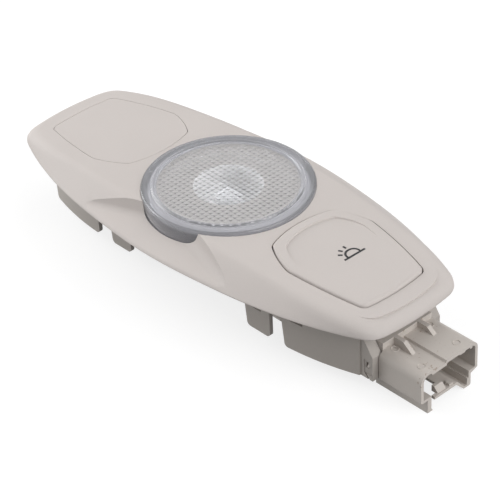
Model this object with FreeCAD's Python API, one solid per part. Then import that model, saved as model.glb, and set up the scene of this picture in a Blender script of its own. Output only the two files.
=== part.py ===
import FreeCAD, Part
import math
import os

from FreeCAD import Vector

# Overhead courtesy lamp of a car, lying lens up.
# Origin: on the lens axis, in the plane where the cover's edge lies on the roof lining.
# +X runs to the connector, +Y to the far long side, +Z out of the lens into the cabin.
# All sizes are in millimetres.

# Cover
crown_height = 9.2
crown_radius = 642.0
rim_radius = 2300.0
cover_half_length = 91.4
cover_end_bulge = 0.9
cover_end_half_width = 14.8
cover_corner_length = 7.0
cover_stations = (0.0, 0.3, 0.6, 0.89, 1.0)
shoulder_half_widths = (29.24, 27.86, 24.67, 22.16, 21.8)
edge_half_widths = (40.5, 38.85, 34.9, 27.4, 23.2)
cover_corner_pull = 1.15
rim_round = 0.9
rim_round_steps = 3
cover_wall = 2.2
cover_flank_wall = 2.9
shoulder_round = 4.0
shoulder_round_steps = 5

# Hollow in each long side of the cover, beside the lens
scoop_depth = 5.7
scoop_slope = 0.28
scoop_lens_half = 14.75
scoop_lens_offset = 27.7
scoop_spread = 4.5
scoop_draft = 1.2
scoop_point_half = 8.0
scoop_left_fillet = 3.0
scoop_right_fillet = 5.0
scoop_floor_start = 6.9

# Lens and the well it stands in
lens_radius = 31.0
lens_side_wall = 2.1
lens_disc_radius = 25.7
lens_disc_thickness = 2.0
lens_edge_height = 10.05
lens_bead_height = 10.75
lens_bead_width = 1.3
lens_disc_top = 10.45
lens_under_bevel = 1.2
lens_edge_fillet = 0.7
lens_clearance = 0.15
well_floor_top = 2.0
well_floor_thickness = 2.0
light_opening_radius = 12.9
lens_clip_angle = 25.0
lens_clip_width = 5.0
lens_clip_thickness = 1.4
lens_clip_barb = 0.9
lens_clip_reach = 2.4
lens_clip_inset = 0.3
lens_clip_tip = 0.4
lens_clip_play = 0.25

# Outline shared by the button and the blank cover, seen from above
pad_inner = 34.2
pad_inner_corner = (pad_inner + 2.7, 14.2)
pad_widest = (50.5, 20.0)
pad_outer = 81.0
pad_outer_corner = (pad_outer - 1.1, 14.4)
pad_shoulder_bulge = 0.8
pad_side_bulge = 0.7
pad_corner_fillet = 3.0
pad_widest_fillet = 5.0
pad_least_fillet = 0.6
blank_gap = 0.2
button_gap = 0.45
collar_wall = 1.6
ledge_width = 1.5
ledge_height = 1.2

# Button
button_proud = 0.94
button_wall = 1.6
button_top_wall = 2.0
button_edge_bevel = 0.75
button_skirt_bottom = 2.2
button_travel = 1.6
dish_border = 3.8
dish_depth = 0.6
dish_end = 58.0
dish_draft = 0.7
dish_cutter_reach = 3.6
dish_lead_in = 5.0
button_post_width = 6.0
button_post_rib = 1.6
button_rib_height = 3.0
button_leg_inset = 0.3
pad_leg_width = 4.0
pad_leg_thickness = 1.2
pad_leg_play = 0.3
pad_barb = 1.0
pad_barb_height = 1.6
pad_barb_tip = 0.5
pad_end_leg = 6.4
pad_side_leg = pad_outer - 10.9

# Blank cover
blank_wall = 2.0
blank_skirt = 1.4

# Rear housing
housing_half_width = 23.45
housing_wall = 1.6
housing_straight = 42.0
housing_bow_radius = 114.0
housing_left = -78.0
housing_right = 80.0
housing_floor_top = -9.4
housing_floor_thickness = 1.6
skirt_bottom = -22.3
skirt_lean = 0.115
skirt_corner = 1.6
long_skirt_left = (housing_left + 1.7, -45.8)
short_skirt_left = (-39.4, -28.2)
short_skirt_right = (31.4, 43.7)
long_skirt_right = (49.4, housing_right + 4.0)
notch_top = -11.6
end_wall_top = -4.0
chimney_radius = 14.0
chimney_wall = 1.4
chimney_slot = 4.6
floor_rib_height = 2.6
floor_rib_width = 1.2
cross_ribs = (-62.0, -46.0, -30.0)
long_rib_offset = 9.0
long_rib_start = housing_left + 1.0

# Hooks of the cover that hold the rear housing
window_hooks = ((37.45, 4.3), (55.7, 5.8))
notch_hooks = ((47.0, 3.9), (-42.6, 3.9))
hook_thickness = 1.3
hook_play = 0.1
hook_barb_height = 2.4
hook_tip_height = 0.8
hook_tip_gap = 0.1
window_bottoms = (-13.4, -10.4)
window_height = 3.0
window_play = 0.3
window_foot_gap = 0.2
arm_room_play = 0.25

# Towers that flank the connector, placed from the housing's end
tower_end = housing_right + 5.56
tower_half_width = 16.4
tower_inner_half_width = 12.0
tower_wall = 1.15
tower_peak = -12.7
tower_slope = 1.49
tower_side_slope = 0.4
tower_pocket_top = -14.0
latch_window = (housing_right + 2.3, housing_right + 3.9)
latch_window_bottom = -18.0
latch_window_height = 2.4
latch_recess = (housing_right + 1.5, housing_right + 5.1)
latch_recess_heights = (-20.3, -14.7)
latch_recess_depth = 0.3
latch_groove_start = housing_right + 1.7
latch_groove_width = 0.85
latch_groove_run = 1.75
latch_groove_depth = 0.5

# Connector header, placed from the housing's end
mouth_x = housing_right + 25.0
shroud_start = housing_right + 5.86
shroud_half_width = 13.8
shroud_wall = 1.25
shroud_roof = -11.0
shroud_side_bottom = -22.9
shroud_far_corner = 3.0
shroud_near_corner = 3.5
key_groove = (-8.6, -1.6)
key_groove_depth = 0.95
key_groove_slant = 0.3
shroud_step = 0.5
shroud_lower_round = 1.0
rail_round = 0.8
rail_foot_bevel = (0.8, 1.2)
rail_shelf = 1.0
rail_notch = (0.7, 2.8)
rail_floor = 0.9
floor_slant = 0.4
shroud_back_wall = 1.2
socket_floor = -23.3
socket_floor_thickness = 1.1
rail_half_width = 10.55
rail_wall = 1.8
rail_bottom = -28.3
floor_near = -7.2
floor_near_start = shroud_start + 3.0
floor_far = 3.4
floor_slot = (mouth_x - 13.5, mouth_x - 1.4)
floor_slot_side = -1.6
header_back = housing_right + 1.4
header_half_width = 11.8
header_top = -8.7
ear_play = 0.15
ear_bottom_gap = 0.4
ear_top_gap = 0.3
ear_barb = (header_back + 1.4, header_back + 2.35)
ear_barb_heights = (-17.85, -17.3, -15.8)
ear_barb_tip_gap = 0.35
gusset_offset = 5.75
gusset_thickness = 1.7
gusset_start = header_back + 1.0
gusset_knee = header_back + 8.8
gusset_run = 1.25
key_ribs = ((5.0, 7.9, 0.8), (10.3, 11.5, 1.1))
latch_bump = (-5.2, -1.3)
latch_bump_height = 2.1
latch_bump_ends = (mouth_x - 3.3, mouth_x - 2.1, mouth_x - 0.5)
latch_bump_foot = 0.2
key_rib_ends = (shroud_start + 1.0, mouth_x - 0.3)
floor_key = (mouth_x - 2.2, 0.2, 2.0)
floor_key_height = 1.0
key_root = 0.3
ejector_mark_radius = 1.25
ejector_mark_depth = 0.12
ejector_marks_back = ((2.74, -8.9), (2.14, 8.6))
ejector_marks_front = ((3.8, -9.6), (4.0, 7.6))

# Stamped tracks and their blades in the connector
track_thickness = 0.8
track_width = 3.0
track_play = 0.2
track_head_room = 0.6
blade_width = 2.8
blade_level = -17.5
blade_tip = mouth_x - 8.5
blade_bend_x = header_back + 1.2
blade_taper = 1.2
blade_play = 0.08
supply_y = -6.0
ground_y = 0.0
signal_y = 6.0
track_turn = (housing_right - 3.0, housing_right - 15.0)
ground_turn_x = housing_right - 12.0
track_lane = 16.9
track_contact_end = 9.7

# Bulb, its holder and the reflector
bulb_radius = 5.0
bulb_top = 5.5
bulb_neck = -6.0
bulb_base_bottom = -17.6
bulb_base_width = 9.4
bulb_base_thickness = 2.5
bulb_glass_wall = 0.6
bulb_dome_steps = 3
bulb_sides = 20
bulb_tip_radius = 0.9
bulb_pinch_height = 1.5
lead_radius = 0.25
lead_spacing = 3.2
filament_level = -0.5
filament_radius = 0.45
holder_radius = 7.6
holder_play = 0.3
holder_flange_radius = 10.2
holder_flange_thickness = 1.6
holder_bottom = -19.3
holder_top = -7.6
holder_lug_reach = 2.0
holder_lug_width = 4.0
holder_lug_thickness = 1.4
holder_lug_gap = 0.1
holder_slot_play = 0.1
holder_channel_bottom = -12.0
grip_length = 15.0
grip_thickness = 3.0
grip_height = 2.4
contact_thickness = 0.4
contact_width = 3.0
contact_rise = 1.1
contact_foot = (9.8, 11.8)
contact_foot_slant = 0.6
bowl_top_radius = 12.7
bowl_bottom_radius = 5.6
bowl_bottom = -7.2
bowl_wall = 0.9
bowl_flange_radius = 15.6
bowl_flange_thickness = 1.0
bowl_steps = 3
bowl_sides = 32

# Push switch under the button
switch_x = 57.5
switch_length = 15.0
switch_width = 10.0
switch_top = -2.6
switch_wall = 1.0
switch_base_thickness = 1.2
slider_top = -0.9
slider_stem = 4.0
slider_head = (9.0, 6.4)
slider_head_thickness = 1.6
slider_play = 0.2
slider_top_gap = 0.1
spring_radius = 1.9
spring_wire = 0.22
spring_turns = 3.0
spring_steps = 12
spring_sides = 6
spring_room = 0.3
spigot_gap = 0.4
spigot_height = 0.8
bridge_thickness = 0.3
terminal_offset = 5.2
terminal_width = 2.0
terminal_height = 3.1
terminal_gap = 0.8
terminal_thickness = 0.4
terminal_inner_end = 1.0
terminal_pad_length = 2.0
terminal_open_gap = 0.05

edge_span = 110.0
side_span = 60.0
tiny = 0.02


def box(low, high):
    """Block between two opposite corners."""
    size = Vector(*high) - Vector(*low)
    return Part.makeBox(size.x, size.y, size.z, Vector(*low))


def cylinder(radius, bottom, top, x=0.0, y=0.0):
    """Upright round bar."""
    return Part.makeCylinder(radius, top - bottom, Vector(x, y, bottom))


def prism(wire, bottom, top):
    """Upright block over a closed plan outline drawn at height zero."""
    face = Part.Face(wire)
    face.translate(Vector(0, 0, bottom))
    return face.extrude(Vector(0, 0, top - bottom))


def turned(points):
    """Ring turned round the Z axis from radius and height pairs."""
    corners = [Vector(radius, 0, height) for radius, height in points]
    face = Part.Face(Part.makePolygon(corners + [corners[0]]))
    return face.revolve(Vector(0, 0, 0), Vector(0, 0, 1), 360)


def slice_along_x(points, start, end):
    """Block with a side-to-side section, given as y and z pairs, carried along X."""
    corners = [Vector(start, y, z) for y, z in points]
    face = Part.Face(Part.makePolygon(corners + [corners[0]]))
    return face.extrude(Vector(end - start, 0, 0))


def slice_along_y(points, start, end):
    """Block with a lengthwise section, given as x and z pairs, carried along Y."""
    corners = [Vector(x, start, z) for x, z in points]
    face = Part.Face(Part.makePolygon(corners + [corners[0]]))
    return face.extrude(Vector(0, end - start, 0))


def joined(pieces):
    """One solid from pieces that touch or overlap."""
    whole = pieces[0].multiFuse(pieces[1:]) if len(pieces) > 1 else pieces[0]
    return whole.removeSplitter()


def mirrored_y(shape):
    """The same shape on the other long side."""
    return shape.mirror(Vector(0, 0, 0), Vector(0, 1, 0))


def mirrored_x(shape):
    """The same shape on the other half of the length."""
    return shape.mirror(Vector(0, 0, 0), Vector(1, 0, 0))


def crown(x, height=crown_height):
    """Height of the arched top over a place along the length."""
    return height - x * x / (2 * crown_radius)


def rim_drop(x):
    """How far the edge of the cover has curved down over a place along the length."""
    return x * x / (2 * rim_radius)


def arch(height, radius, half_span):
    """Lengthwise arc through the middle at a height."""
    drop = half_span * half_span / (2 * radius)
    ends = (Vector(-half_span, 0, height - drop), Vector(half_span, 0, height - drop))
    return Part.Arc(ends[0], Vector(0, 0, height), ends[1]).toShape()


def crowned_slab(top, bottom):
    """Slab between the arched top and the arched bottom, wider than the lamp."""
    upper = arch(top, crown_radius, edge_span)
    lower = arch(bottom, rim_radius, edge_span)
    high = [vertex.Point for vertex in upper.Vertexes]
    low = [vertex.Point for vertex in lower.Vertexes]
    sides = [Part.makeLine(high[1], low[1]), Part.makeLine(low[0], high[0])]
    face = Part.Face(Part.Wire([upper, sides[0], lower, sides[1]]))
    face.translate(Vector(0, -side_span, 0))
    return face.extrude(Vector(0, 2 * side_span, 0))


def flank_slope(station):
    """Sideways run of the sloping flank for each millimetre of height, at a station."""
    index = cover_stations.index(station)
    edge_height = -rim_drop(station * (cover_half_length - cover_corner_length))
    return (edge_half_widths[index] - shoulder_half_widths[index]) / (crown_height - edge_height)


def flank_half_width(station, height):
    """Half-width of the sloping flank at a station along the side and a height."""
    shoulder = shoulder_half_widths[cover_stations.index(station)]
    return shoulder + flank_slope(station) * (crown_height - height)


def shoulder_inset(station, drop):
    """How far the shoulder's round has turned in from the flank, at a drop below the crown."""
    slope = flank_slope(station)
    steep = math.hypot(1, slope)
    if drop >= shoulder_round * (1 - slope / steep):
        return 0.0
    left = shoulder_round - drop
    return shoulder_round * steep - slope * left - math.sqrt(shoulder_round**2 - left**2)


def cover_outline(level, inset, end_inset):
    """Closed outline of the cover from functions for its height and side inset, and its end inset."""
    side_end = cover_half_length - cover_corner_length - end_inset
    half = []
    for station in cover_stations:
        x = station * side_end
        half.append(Vector(x, flank_half_width(station, level(x)) - inset(station), level(x)))
    points = [Vector(-point.x, point.y, point.z) for point in reversed(half[1:])] + half
    side = Part.BSplineCurve()
    side.interpolate(points)
    tip = Vector(cover_half_length - end_inset, 0, level(cover_half_length))
    corner_end = Vector(tip.x - cover_end_bulge, cover_end_half_width - end_inset, tip.z)
    end_arc = Part.Arc(corner_end, tip, Vector(corner_end.x, -corner_end.y, tip.z))
    pull = (corner_end - points[-1]).Length * cover_corner_pull
    corner = Part.BSplineCurve()
    corner.interpolate(
        Points=[points[-1], corner_end],
        InitialTangent=side.tangent(side.LastParameter)[0] * pull,
        FinalTangent=end_arc.tangent(end_arc.FirstParameter)[0] * pull,
    )
    flip_x = FreeCAD.Matrix()
    flip_x.scale(-1, 1, 1)
    flip_y = FreeCAD.Matrix()
    flip_y.scale(1, -1, 1)
    side, corner, end_arc = side.toShape(), corner.toShape(), end_arc.toShape()
    low_corner = corner.transformGeometry(flip_y)
    edges = [side, corner, end_arc, low_corner, side.transformGeometry(flip_y)]
    edges += [low_corner.transformGeometry(flip_x), end_arc.transformGeometry(flip_x)]
    edges += [corner.transformGeometry(flip_x)]
    return Part.Wire(edges)


def flat_outline(height, inset=0.0, end_inset=0.0):
    """Outline of the cover cut level at a height."""
    return cover_outline(lambda x: height, lambda station: inset, end_inset)


def rim_outline(turn):
    """Outline on the rim's round, from its foot at no turn to its top at a right angle."""
    inset = rim_round * (1 - math.sin(turn))
    rise = rim_round * (1 - math.cos(turn)) - tiny
    return cover_outline(lambda x: rise - rim_drop(x), lambda station: inset, inset)


def shoulder_outline(turn):
    """Outline on the shoulder's round, from its foot at no turn to the crown at a right angle."""
    drop = shoulder_round * (1 - math.sin(turn)) - tiny * math.sin(turn)
    reach = max(0.0, shoulder_round - drop)
    end_inset = shoulder_round - math.sqrt(max(0.0, shoulder_round**2 - min(reach, shoulder_round) ** 2))
    return cover_outline(
        lambda x: crown(x) - drop,
        lambda station: shoulder_inset(station, max(0.0, drop)),
        end_inset,
    )


def cover_flank(low, high, inset=0.0, end_inset=0.0):
    """Block bounded by the cover's sloping flanks, between two heights."""
    ends = [flat_outline(height, inset, end_inset) for height in (low, high)]
    return Part.makeLoft(ends, True, True)


def cover_block():
    """Outer form of the cover: rounded rim, sloping flanks and rounded shoulder under an arched top."""
    right_angle = math.radians(90)
    sections = [flat_outline(-crown_height, crown_height, crown_height)]
    sections += [rim_outline(right_angle * step / rim_round_steps) for step in range(rim_round_steps + 1)]
    for step in range(shoulder_round_steps + 1):
        sections.append(shoulder_outline(right_angle * step / shoulder_round_steps))
    top_inset = shoulder_inset(cover_stations[0], 0.0)
    above = crown_height + shoulder_round
    sections.append(flat_outline(above, top_inset, shoulder_round))
    return Part.makeLoft(sections, True, True).common(crowned_slab(crown_height, 0.0))


def top_edges(block, height):
    """Edges of a block's arched top, which stands at a height over the middle."""
    found = []
    for edge in block.Edges:
        middle = edge.valueAt((edge.FirstParameter + edge.LastParameter) / 2)
        if abs(middle.z - crown(middle.x, height)) < tiny * 2:
            found.append(edge)
    return found


def scoop_level(y):
    """Height of the scoop's floor at a distance from the centre line."""
    return crown_height - scoop_depth - scoop_slope * (abs(y) - lens_radius)


def scoop_wedge(height, grow):
    """Plan corners of the scoop at a height: a wedge that opens from the lens to the edge."""
    normal = math.sqrt(1 + scoop_spread**2 + scoop_draft**2)
    half = scoop_lens_half + scoop_draft * (height - crown_height) + grow * normal
    inner = scoop_lens_offset + (scoop_point_half - half) / scoop_spread
    outer_half = half + (side_span - scoop_lens_offset) * scoop_spread
    tip, far = -inner, -side_span
    corners = [(-scoop_point_half, tip), (-outer_half, far), (outer_half, far), (scoop_point_half, tip)]
    points = [Vector(x, y, height) for x, y in corners]
    return Part.makePolygon(points + [points[0]])


def sharp_scoop(grow=0.0):
    """Block that fills the near scoop: a shallow arched floor between two raked walls."""
    start = scoop_floor_start
    level = scoop_level(start) - grow
    roof = crown_height * 4
    floor_arc = arch(level, crown_radius, edge_span)
    ends = [vertex.Point for vertex in floor_arc.Vertexes]
    tops = [Vector(end.x, 0, roof) for end in ends]
    corners = [ends[1], tops[1], tops[0], ends[0]]
    sides = [Part.makeLine(start, end) for start, end in zip(corners, corners[1:])]
    section = Part.Face(Part.Wire([floor_arc] + sides))
    section.translate(Vector(0, -start, 0))
    run = side_span - start
    trough = section.extrude(Vector(0, -run, -run * scoop_slope))
    walls = [scoop_wedge(-crown_height, grow), scoop_wedge(crown_height * 2, grow)]
    return trough.common(Part.makeLoft(walls, True, True))


def scoop():
    """Cutter for the near scoop, with a wide round where its floor meets each wall."""
    cutter = sharp_scoop()
    cutter = cutter.makeFillet(scoop_left_fillet, scoop_floor_lines(cutter)[0])
    return cutter.makeFillet(scoop_right_fillet, scoop_floor_lines(cutter)[1])


def scoop_floor_lines(cutter):
    """The two lines where the scoop's floor meets its raked walls."""
    lines = ([], [])
    for edge in cutter.Edges:
        middle = edge.valueAt((edge.FirstParameter + edge.LastParameter) / 2)
        floor = scoop_level(middle.y) - middle.x * middle.x / (2 * crown_radius)
        runs_out = edge.BoundBox.YLength > scoop_lens_half
        slants = edge.BoundBox.XLength > scoop_lens_half
        if abs(middle.z - floor) < 0.05 and runs_out and slants:
            lines[0 if middle.x < 0 else 1].append(edge)
    return lines


def bulged(start, end, bulge):
    """Arc between two plan points that stands out to the left of the way it runs."""
    a, b = Vector(start[0], start[1], 0), Vector(end[0], end[1], 0)
    along = (b - a).normalize()
    middle = (a + b) * 0.5 + Vector(-along.y, along.x, 0) * bulge
    return Part.Arc(a, middle, b).toShape()


def moved_line(start, end, distance):
    """Two plan points moved sideways, to the right of the way from start to end."""
    length = math.hypot(end[0] - start[0], end[1] - start[1])
    dx, dy = (end[1] - start[1]) / length * distance, (start[0] - end[0]) / length * distance
    return (start[0] + dx, start[1] + dy), (end[0] + dx, end[1] + dy)


def crossing(first, second):
    """Plan point where two lines, each given by two points, cross."""
    (x1, y1), (x2, y2) = first
    (x3, y3), (x4, y4) = second
    turn = (x1 - x2) * (y3 - y4) - (y1 - y2) * (x3 - x4)
    a, b = x1 * y2 - y1 * x2, x3 * y4 - y3 * x4
    return (a * (x3 - x4) - (x1 - x2) * b) / turn, (a * (y3 - y4) - (y1 - y2) * b) / turn


def pad_corners(grow):
    """Corners of the far half of the pad outline, moved out evenly."""
    inner, widest, outer = pad_inner_corner, pad_widest, pad_outer_corner
    mirror = [(inner[0], -inner[1]), (outer[0], -outer[1])]
    lines = [(mirror[0], inner), (inner, widest), (widest, outer), (outer, mirror[1])]
    moved = [moved_line(start, end, -grow) for start, end in lines]
    return [crossing(moved[index], moved[index + 1]) for index in range(3)]


def pad_outline(grow=0.0):
    """Plan outline of the button, grown or drawn in evenly: six bowed sides with soft corners."""
    far = pad_corners(grow)
    near = [(x, -y) for x, y in far]
    inner_tip = Vector(pad_inner - grow, 0, 0)
    outer_tip = Vector(pad_outer + grow, 0, 0)
    edges = [
        Part.Arc(Vector(*near[0], 0), inner_tip, Vector(*far[0], 0)).toShape(),
        bulged(far[0], far[1], pad_shoulder_bulge),
        bulged(far[1], far[2], pad_side_bulge),
        Part.Arc(Vector(*far[2], 0), outer_tip, Vector(*near[2], 0)).toShape(),
        bulged(near[2], near[1], pad_side_bulge),
        bulged(near[1], near[0], pad_shoulder_bulge),
    ]
    block = Part.Face(Part.Wire(edges)).extrude(Vector(0, 0, 1))
    rounds = [(far[1], pad_widest_fillet), (far[0], pad_corner_fillet), (far[2], pad_corner_fillet)]
    for spot, radius in rounds:
        corner_edges = [edge for edge in block.Edges if stands_at(edge, spot)]
        block = block.makeFillet(max(pad_least_fillet, radius + grow), corner_edges)
    base = [face for face in block.Faces if face.BoundBox.ZMax < tiny][0]
    return Part.Wire([true_arc(edge) for edge in base.OuterWire.OrderedEdges])


def true_arc(edge):
    """The arc that a flat round follows, in place of the spline that a fillet leaves."""
    first, last = edge.ParameterRange
    spots = [edge.valueAt(first + share * (last - first)) for share in (0.0, 0.5, 1.0)]
    return Part.Arc(*spots).toShape()


def stands_at(edge, spot):
    """True for an upright edge over a plan point or over its mirror image."""
    place = edge.Vertexes[0].Point
    upright = edge.BoundBox.ZLength > pad_least_fillet
    return upright and math.hypot(place.x - spot[0], abs(place.y) - spot[1]) < tiny


def pad_edge_x(y):
    """Place of the pad outline's lens end at a distance from the centre line."""
    return pad_inner + (pad_inner_corner[0] - pad_inner) * (y / pad_inner_corner[1]) ** 2


def pad_edge_y(x):
    """Half-width of the pad outline on its long side."""
    share = (x - pad_widest[0]) / (pad_outer_corner[0] - pad_widest[0])
    return pad_widest[1] + (pad_outer_corner[1] - pad_widest[1]) * share


def barb(face, reach, top):
    """Outline of a pad leg's barb that stands out from a face, across and up."""
    side = math.copysign(tiny, reach)
    lowest = top - pad_barb_height
    return [(face - side, top), (face + reach, top), (face + reach, top - pad_barb_tip), (face - side, lowest)]


def pad_hooks(inset, roof_height, barb_top, reach):
    """Four snap legs inside a pad outline, with barbs that reach out under its collar."""
    bottom = barb_top - pad_barb_height
    side_y = pad_edge_y(pad_side_leg) - inset
    low_x, high_x = pad_side_leg - pad_leg_width / 2, pad_side_leg + pad_leg_width / 2
    roof = crown(pad_side_leg, roof_height)
    leg = box((low_x, side_y - pad_leg_thickness, bottom), (high_x, side_y, roof))
    hook = leg.fuse(slice_along_x(barb(side_y, reach, barb_top), low_x, high_x))
    legs = [hook, mirrored_y(hook)]
    low_y, high_y = pad_end_leg - pad_leg_width / 2, pad_end_leg + pad_leg_width / 2
    end_x = pad_edge_x(high_y) + inset
    leg = box((end_x, low_y, bottom), (end_x + pad_leg_thickness, high_y, crown(end_x, roof_height)))
    hook = leg.fuse(slice_along_y(barb(end_x, -reach, barb_top), low_y, high_y))
    return legs + [hook, mirrored_y(hook)]


def housing_edge_y(x):
    """Half-width of the rear housing's plan outline."""
    past = max(0.0, abs(x) - housing_straight)
    return housing_half_width - (housing_bow_radius - math.sqrt(housing_bow_radius**2 - past * past))


def hook_face_y(x):
    """Outer face of a hook's arm, just inside the housing wall."""
    return housing_edge_y(x) - housing_wall - hook_play


def snap_hook(x, width, barb_bottom, rounded):
    """Arm that hangs from the cover inside the housing wall, with a barb that reaches out."""
    low_x, high_x = x - width / 2, x + width / 2
    face_y = -min(hook_face_y(low_x), hook_face_y(high_x))
    top = crown(x) - cover_wall / 2
    barb_top = barb_bottom + hook_barb_height
    arm = box((low_x, face_y, barb_bottom), (high_x, face_y + hook_thickness, top))
    tip = face_y - housing_wall - hook_play + hook_tip_gap
    root = face_y + tiny
    profile = [(root, barb_top), (tip, barb_top), (tip, barb_top - hook_tip_height), (root, barb_bottom)]
    hook = arm.fuse(slice_along_x(profile, low_x, high_x))
    if rounded:
        middle = Vector(x, -side_span, barb_bottom + width / 2)
        foot = Part.makeCylinder(width / 2, side_span, middle, Vector(0, 1, 0))
        hook = hook.common(foot.fuse(box((low_x, -side_span, middle.z), (high_x, 0, top))))
    return hook


def window_foot(bottom):
    """Level of the foot of a hook in a window with a given bottom."""
    return bottom + window_foot_gap


def notch_foot():
    """Level of the foot of a hook that grips the housing wall between its skirts."""
    return notch_top - hook_play - hook_barb_height


def cover_hooks():
    """All hooks of the cover, the same on both long sides."""
    hooks = []
    for (x, width), bottom in zip(window_hooks, window_bottoms):
        hook = snap_hook(x, width - 2 * window_play, window_foot(bottom), False)
        hooks += [hook, mirrored_x(hook)]
    hooks += [snap_hook(x, width, notch_foot(), True) for x, width in notch_hooks]
    return hooks + [mirrored_y(hook) for hook in hooks]


def lens_clip_face():
    """Radius of the outer face of the lens clips."""
    return lens_radius - lens_side_wall + lens_clip_inset


def round_the_lens(shape):
    """A shape made for the +X direction, repeated at the four clip places of the lens."""
    turned_shapes = []
    for turn in (lens_clip_angle, -lens_clip_angle, 180 + lens_clip_angle, 180 - lens_clip_angle):
        turned_shapes.append(shape.rotated(Vector(0, 0, 0), Vector(0, 0, 1), turn))
    return turned_shapes


def lens_clip_slots():
    """Four places round the well where the lens clips pass its floor."""
    play = lens_clip_play
    outer = lens_clip_face()
    half = lens_clip_width / 2 + play
    low = (outer - lens_clip_thickness - play, -half, -lens_clip_reach * 2)
    return round_the_lens(box(low, (outer + lens_clip_barb + play, half, well_floor_top + play)))


def lens_clip():
    """One clip of the lens: a leg through the well floor with a barb under it."""
    face_x = lens_clip_face()
    barb_x = face_x + lens_clip_barb
    floor_bottom = well_floor_top - well_floor_thickness
    bottom = floor_bottom - lens_clip_reach
    half = lens_clip_width / 2
    top = well_floor_top + lens_clip_thickness
    leg = box((face_x - lens_clip_thickness, -half, bottom), (face_x, half, top))
    barb_top = floor_bottom - hook_play
    root = face_x - tiny
    profile = [(root, barb_top), (barb_x, barb_top), (barb_x, barb_top - lens_clip_tip), (root, bottom)]
    return leg.fuse(slice_along_y(profile, -half, half))


def bezel():
    """Cover moulding: arched shell with scoops, lens well, collars, rim and snap hooks."""
    outer = cover_block()
    near = scoop()
    outer = outer.cut(near).cut(mirrored_y(near))
    inner = cover_flank(-crown_height, crown_height * 2, cover_flank_wall, cover_wall)
    inner = inner.common(crowned_slab(crown_height - cover_wall, -crown_height))
    deep = sharp_scoop(cover_wall)
    inner = inner.cut(deep).cut(mirrored_y(deep))
    well_radius = lens_radius + lens_clearance
    floor_bottom = well_floor_top - well_floor_thickness
    upper = crown_height * 2
    ribs = [cylinder(well_radius + cover_wall, floor_bottom, upper)]
    button_hole = pad_outline(button_gap)
    blank_hole = mirrored_x(pad_outline(blank_gap))
    ribs.append(prism(pad_outline(button_gap + collar_wall), 0.0, upper))
    ribs.append(mirrored_x(prism(pad_outline(blank_gap + collar_wall), 0.0, upper)))
    filled = joined(ribs).common(outer)
    shell = joined([outer.cut(inner), filled] + cover_hooks())
    cutters = [cylinder(well_radius, well_floor_top, upper), cylinder(light_opening_radius, -upper, upper)]
    cutters.append(prism(button_hole, -upper, upper))
    cutters.append(prism(blank_hole, ledge_height, upper))
    cutters.append(mirrored_x(prism(pad_outline(-ledge_width), -upper, upper)))
    for cutter in cutters + lens_clip_slots():
        shell = shell.cut(cutter)
    return shell


def lens():
    """Clear lens: a thick round rim with a raised bead, a disc set down inside it and four clips."""
    underside = lens_edge_height - lens_disc_thickness
    inner_radius = lens_radius - lens_side_wall
    profile = [
        (lens_radius, well_floor_top),
        (lens_radius, lens_edge_height - lens_edge_fillet),
        (lens_radius - lens_edge_fillet, lens_edge_height),
        (lens_disc_radius + lens_bead_width, lens_bead_height),
        (lens_disc_radius, lens_bead_height),
        (lens_disc_radius, lens_disc_top),
        (0.0, lens_disc_top),
        (0.0, underside),
        (inner_radius - lens_under_bevel, underside),
        (inner_radius, underside - lens_under_bevel),
        (inner_radius, well_floor_top),
    ]
    return joined([turned(profile)] + round_the_lens(lens_clip()))


def blank_cover():
    """Plain cover over the unused switch place, flush with the top and held by four hooks."""
    block = prism(pad_outline(), ledge_height, crown_height * 2)
    block = block.common(crowned_slab(crown_height, -crown_height))
    hollow = prism(pad_outline(-blank_skirt), -crown_height, crown_height * 2)
    hollow = hollow.common(crowned_slab(crown_height - blank_wall, -crown_height * 2))
    shell = block.cut(hollow)
    inset = ledge_width + hook_play
    hooks = pad_hooks(inset, crown_height - blank_wall / 2, -hook_play, pad_barb)
    return mirrored_x(joined([shell] + hooks))


def dish_cutter():
    """Cutter for the finger dish: deepest at the lens end, fading out along the button."""
    top = crown_height + button_proud
    low_outline = pad_outline(-dish_border - dish_draft)
    high_outline = pad_outline(-dish_border + dish_draft)
    low_outline.translate(Vector(0, 0, top - dish_cutter_reach))
    high_outline.translate(Vector(0, 0, top + dish_depth))
    block = Part.makeLoft([low_outline, high_outline], True, True)
    start = pad_inner + dish_border
    floor_start = crown(start, top) - dish_depth
    floor_end = crown(dish_end, top)
    lead_in = start - dish_lead_in
    roof = top * 2
    above = [(lead_in, floor_start), (start, floor_start), (dish_end, floor_end), (dish_end, roof)]
    return block.common(slice_along_y(above + [(lead_in, roof)], -side_span, side_span))


def button_cap():
    """Push button: dished cap with a skirt, ribs, a post for the switch and four hooks."""
    top = crown_height + button_proud
    block = prism(pad_outline(), button_skirt_bottom, top * 2).common(crowned_slab(top, -top))
    block = block.makeChamfer(button_edge_bevel, top_edges(block, top))
    hollow = prism(pad_outline(-button_wall), -top, top * 2)
    hollow = hollow.common(crowned_slab(top - button_top_wall, -top * 2))
    shell = block.cut(hollow).cut(dish_cutter())
    roof = crown(pad_outer, top) - button_top_wall / 2
    half = button_post_width / 2
    rib = button_post_rib / 2
    post = [
        box((switch_x - half, -rib, slider_top), (switch_x + half, rib, roof)),
        box((switch_x - rib, -half, slider_top), (switch_x + rib, half, roof)),
    ]
    rib_bottom = roof - button_rib_height
    inner_x = pad_inner + button_wall / 2
    outer_x = pad_outer - button_wall / 2
    post.append(box((inner_x, -rib / 2, rib_bottom), (outer_x, rib / 2, roof)))
    side = pad_edge_y(switch_x) - button_wall / 2
    post.append(box((switch_x - rib / 2, -side, rib_bottom), (switch_x + rib / 2, side, roof)))
    reach = pad_barb + button_gap - button_leg_inset
    hooks = pad_hooks(button_leg_inset, top - button_top_wall / 2, -pad_leg_play, reach)
    return joined([shell] + post + hooks)


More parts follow.
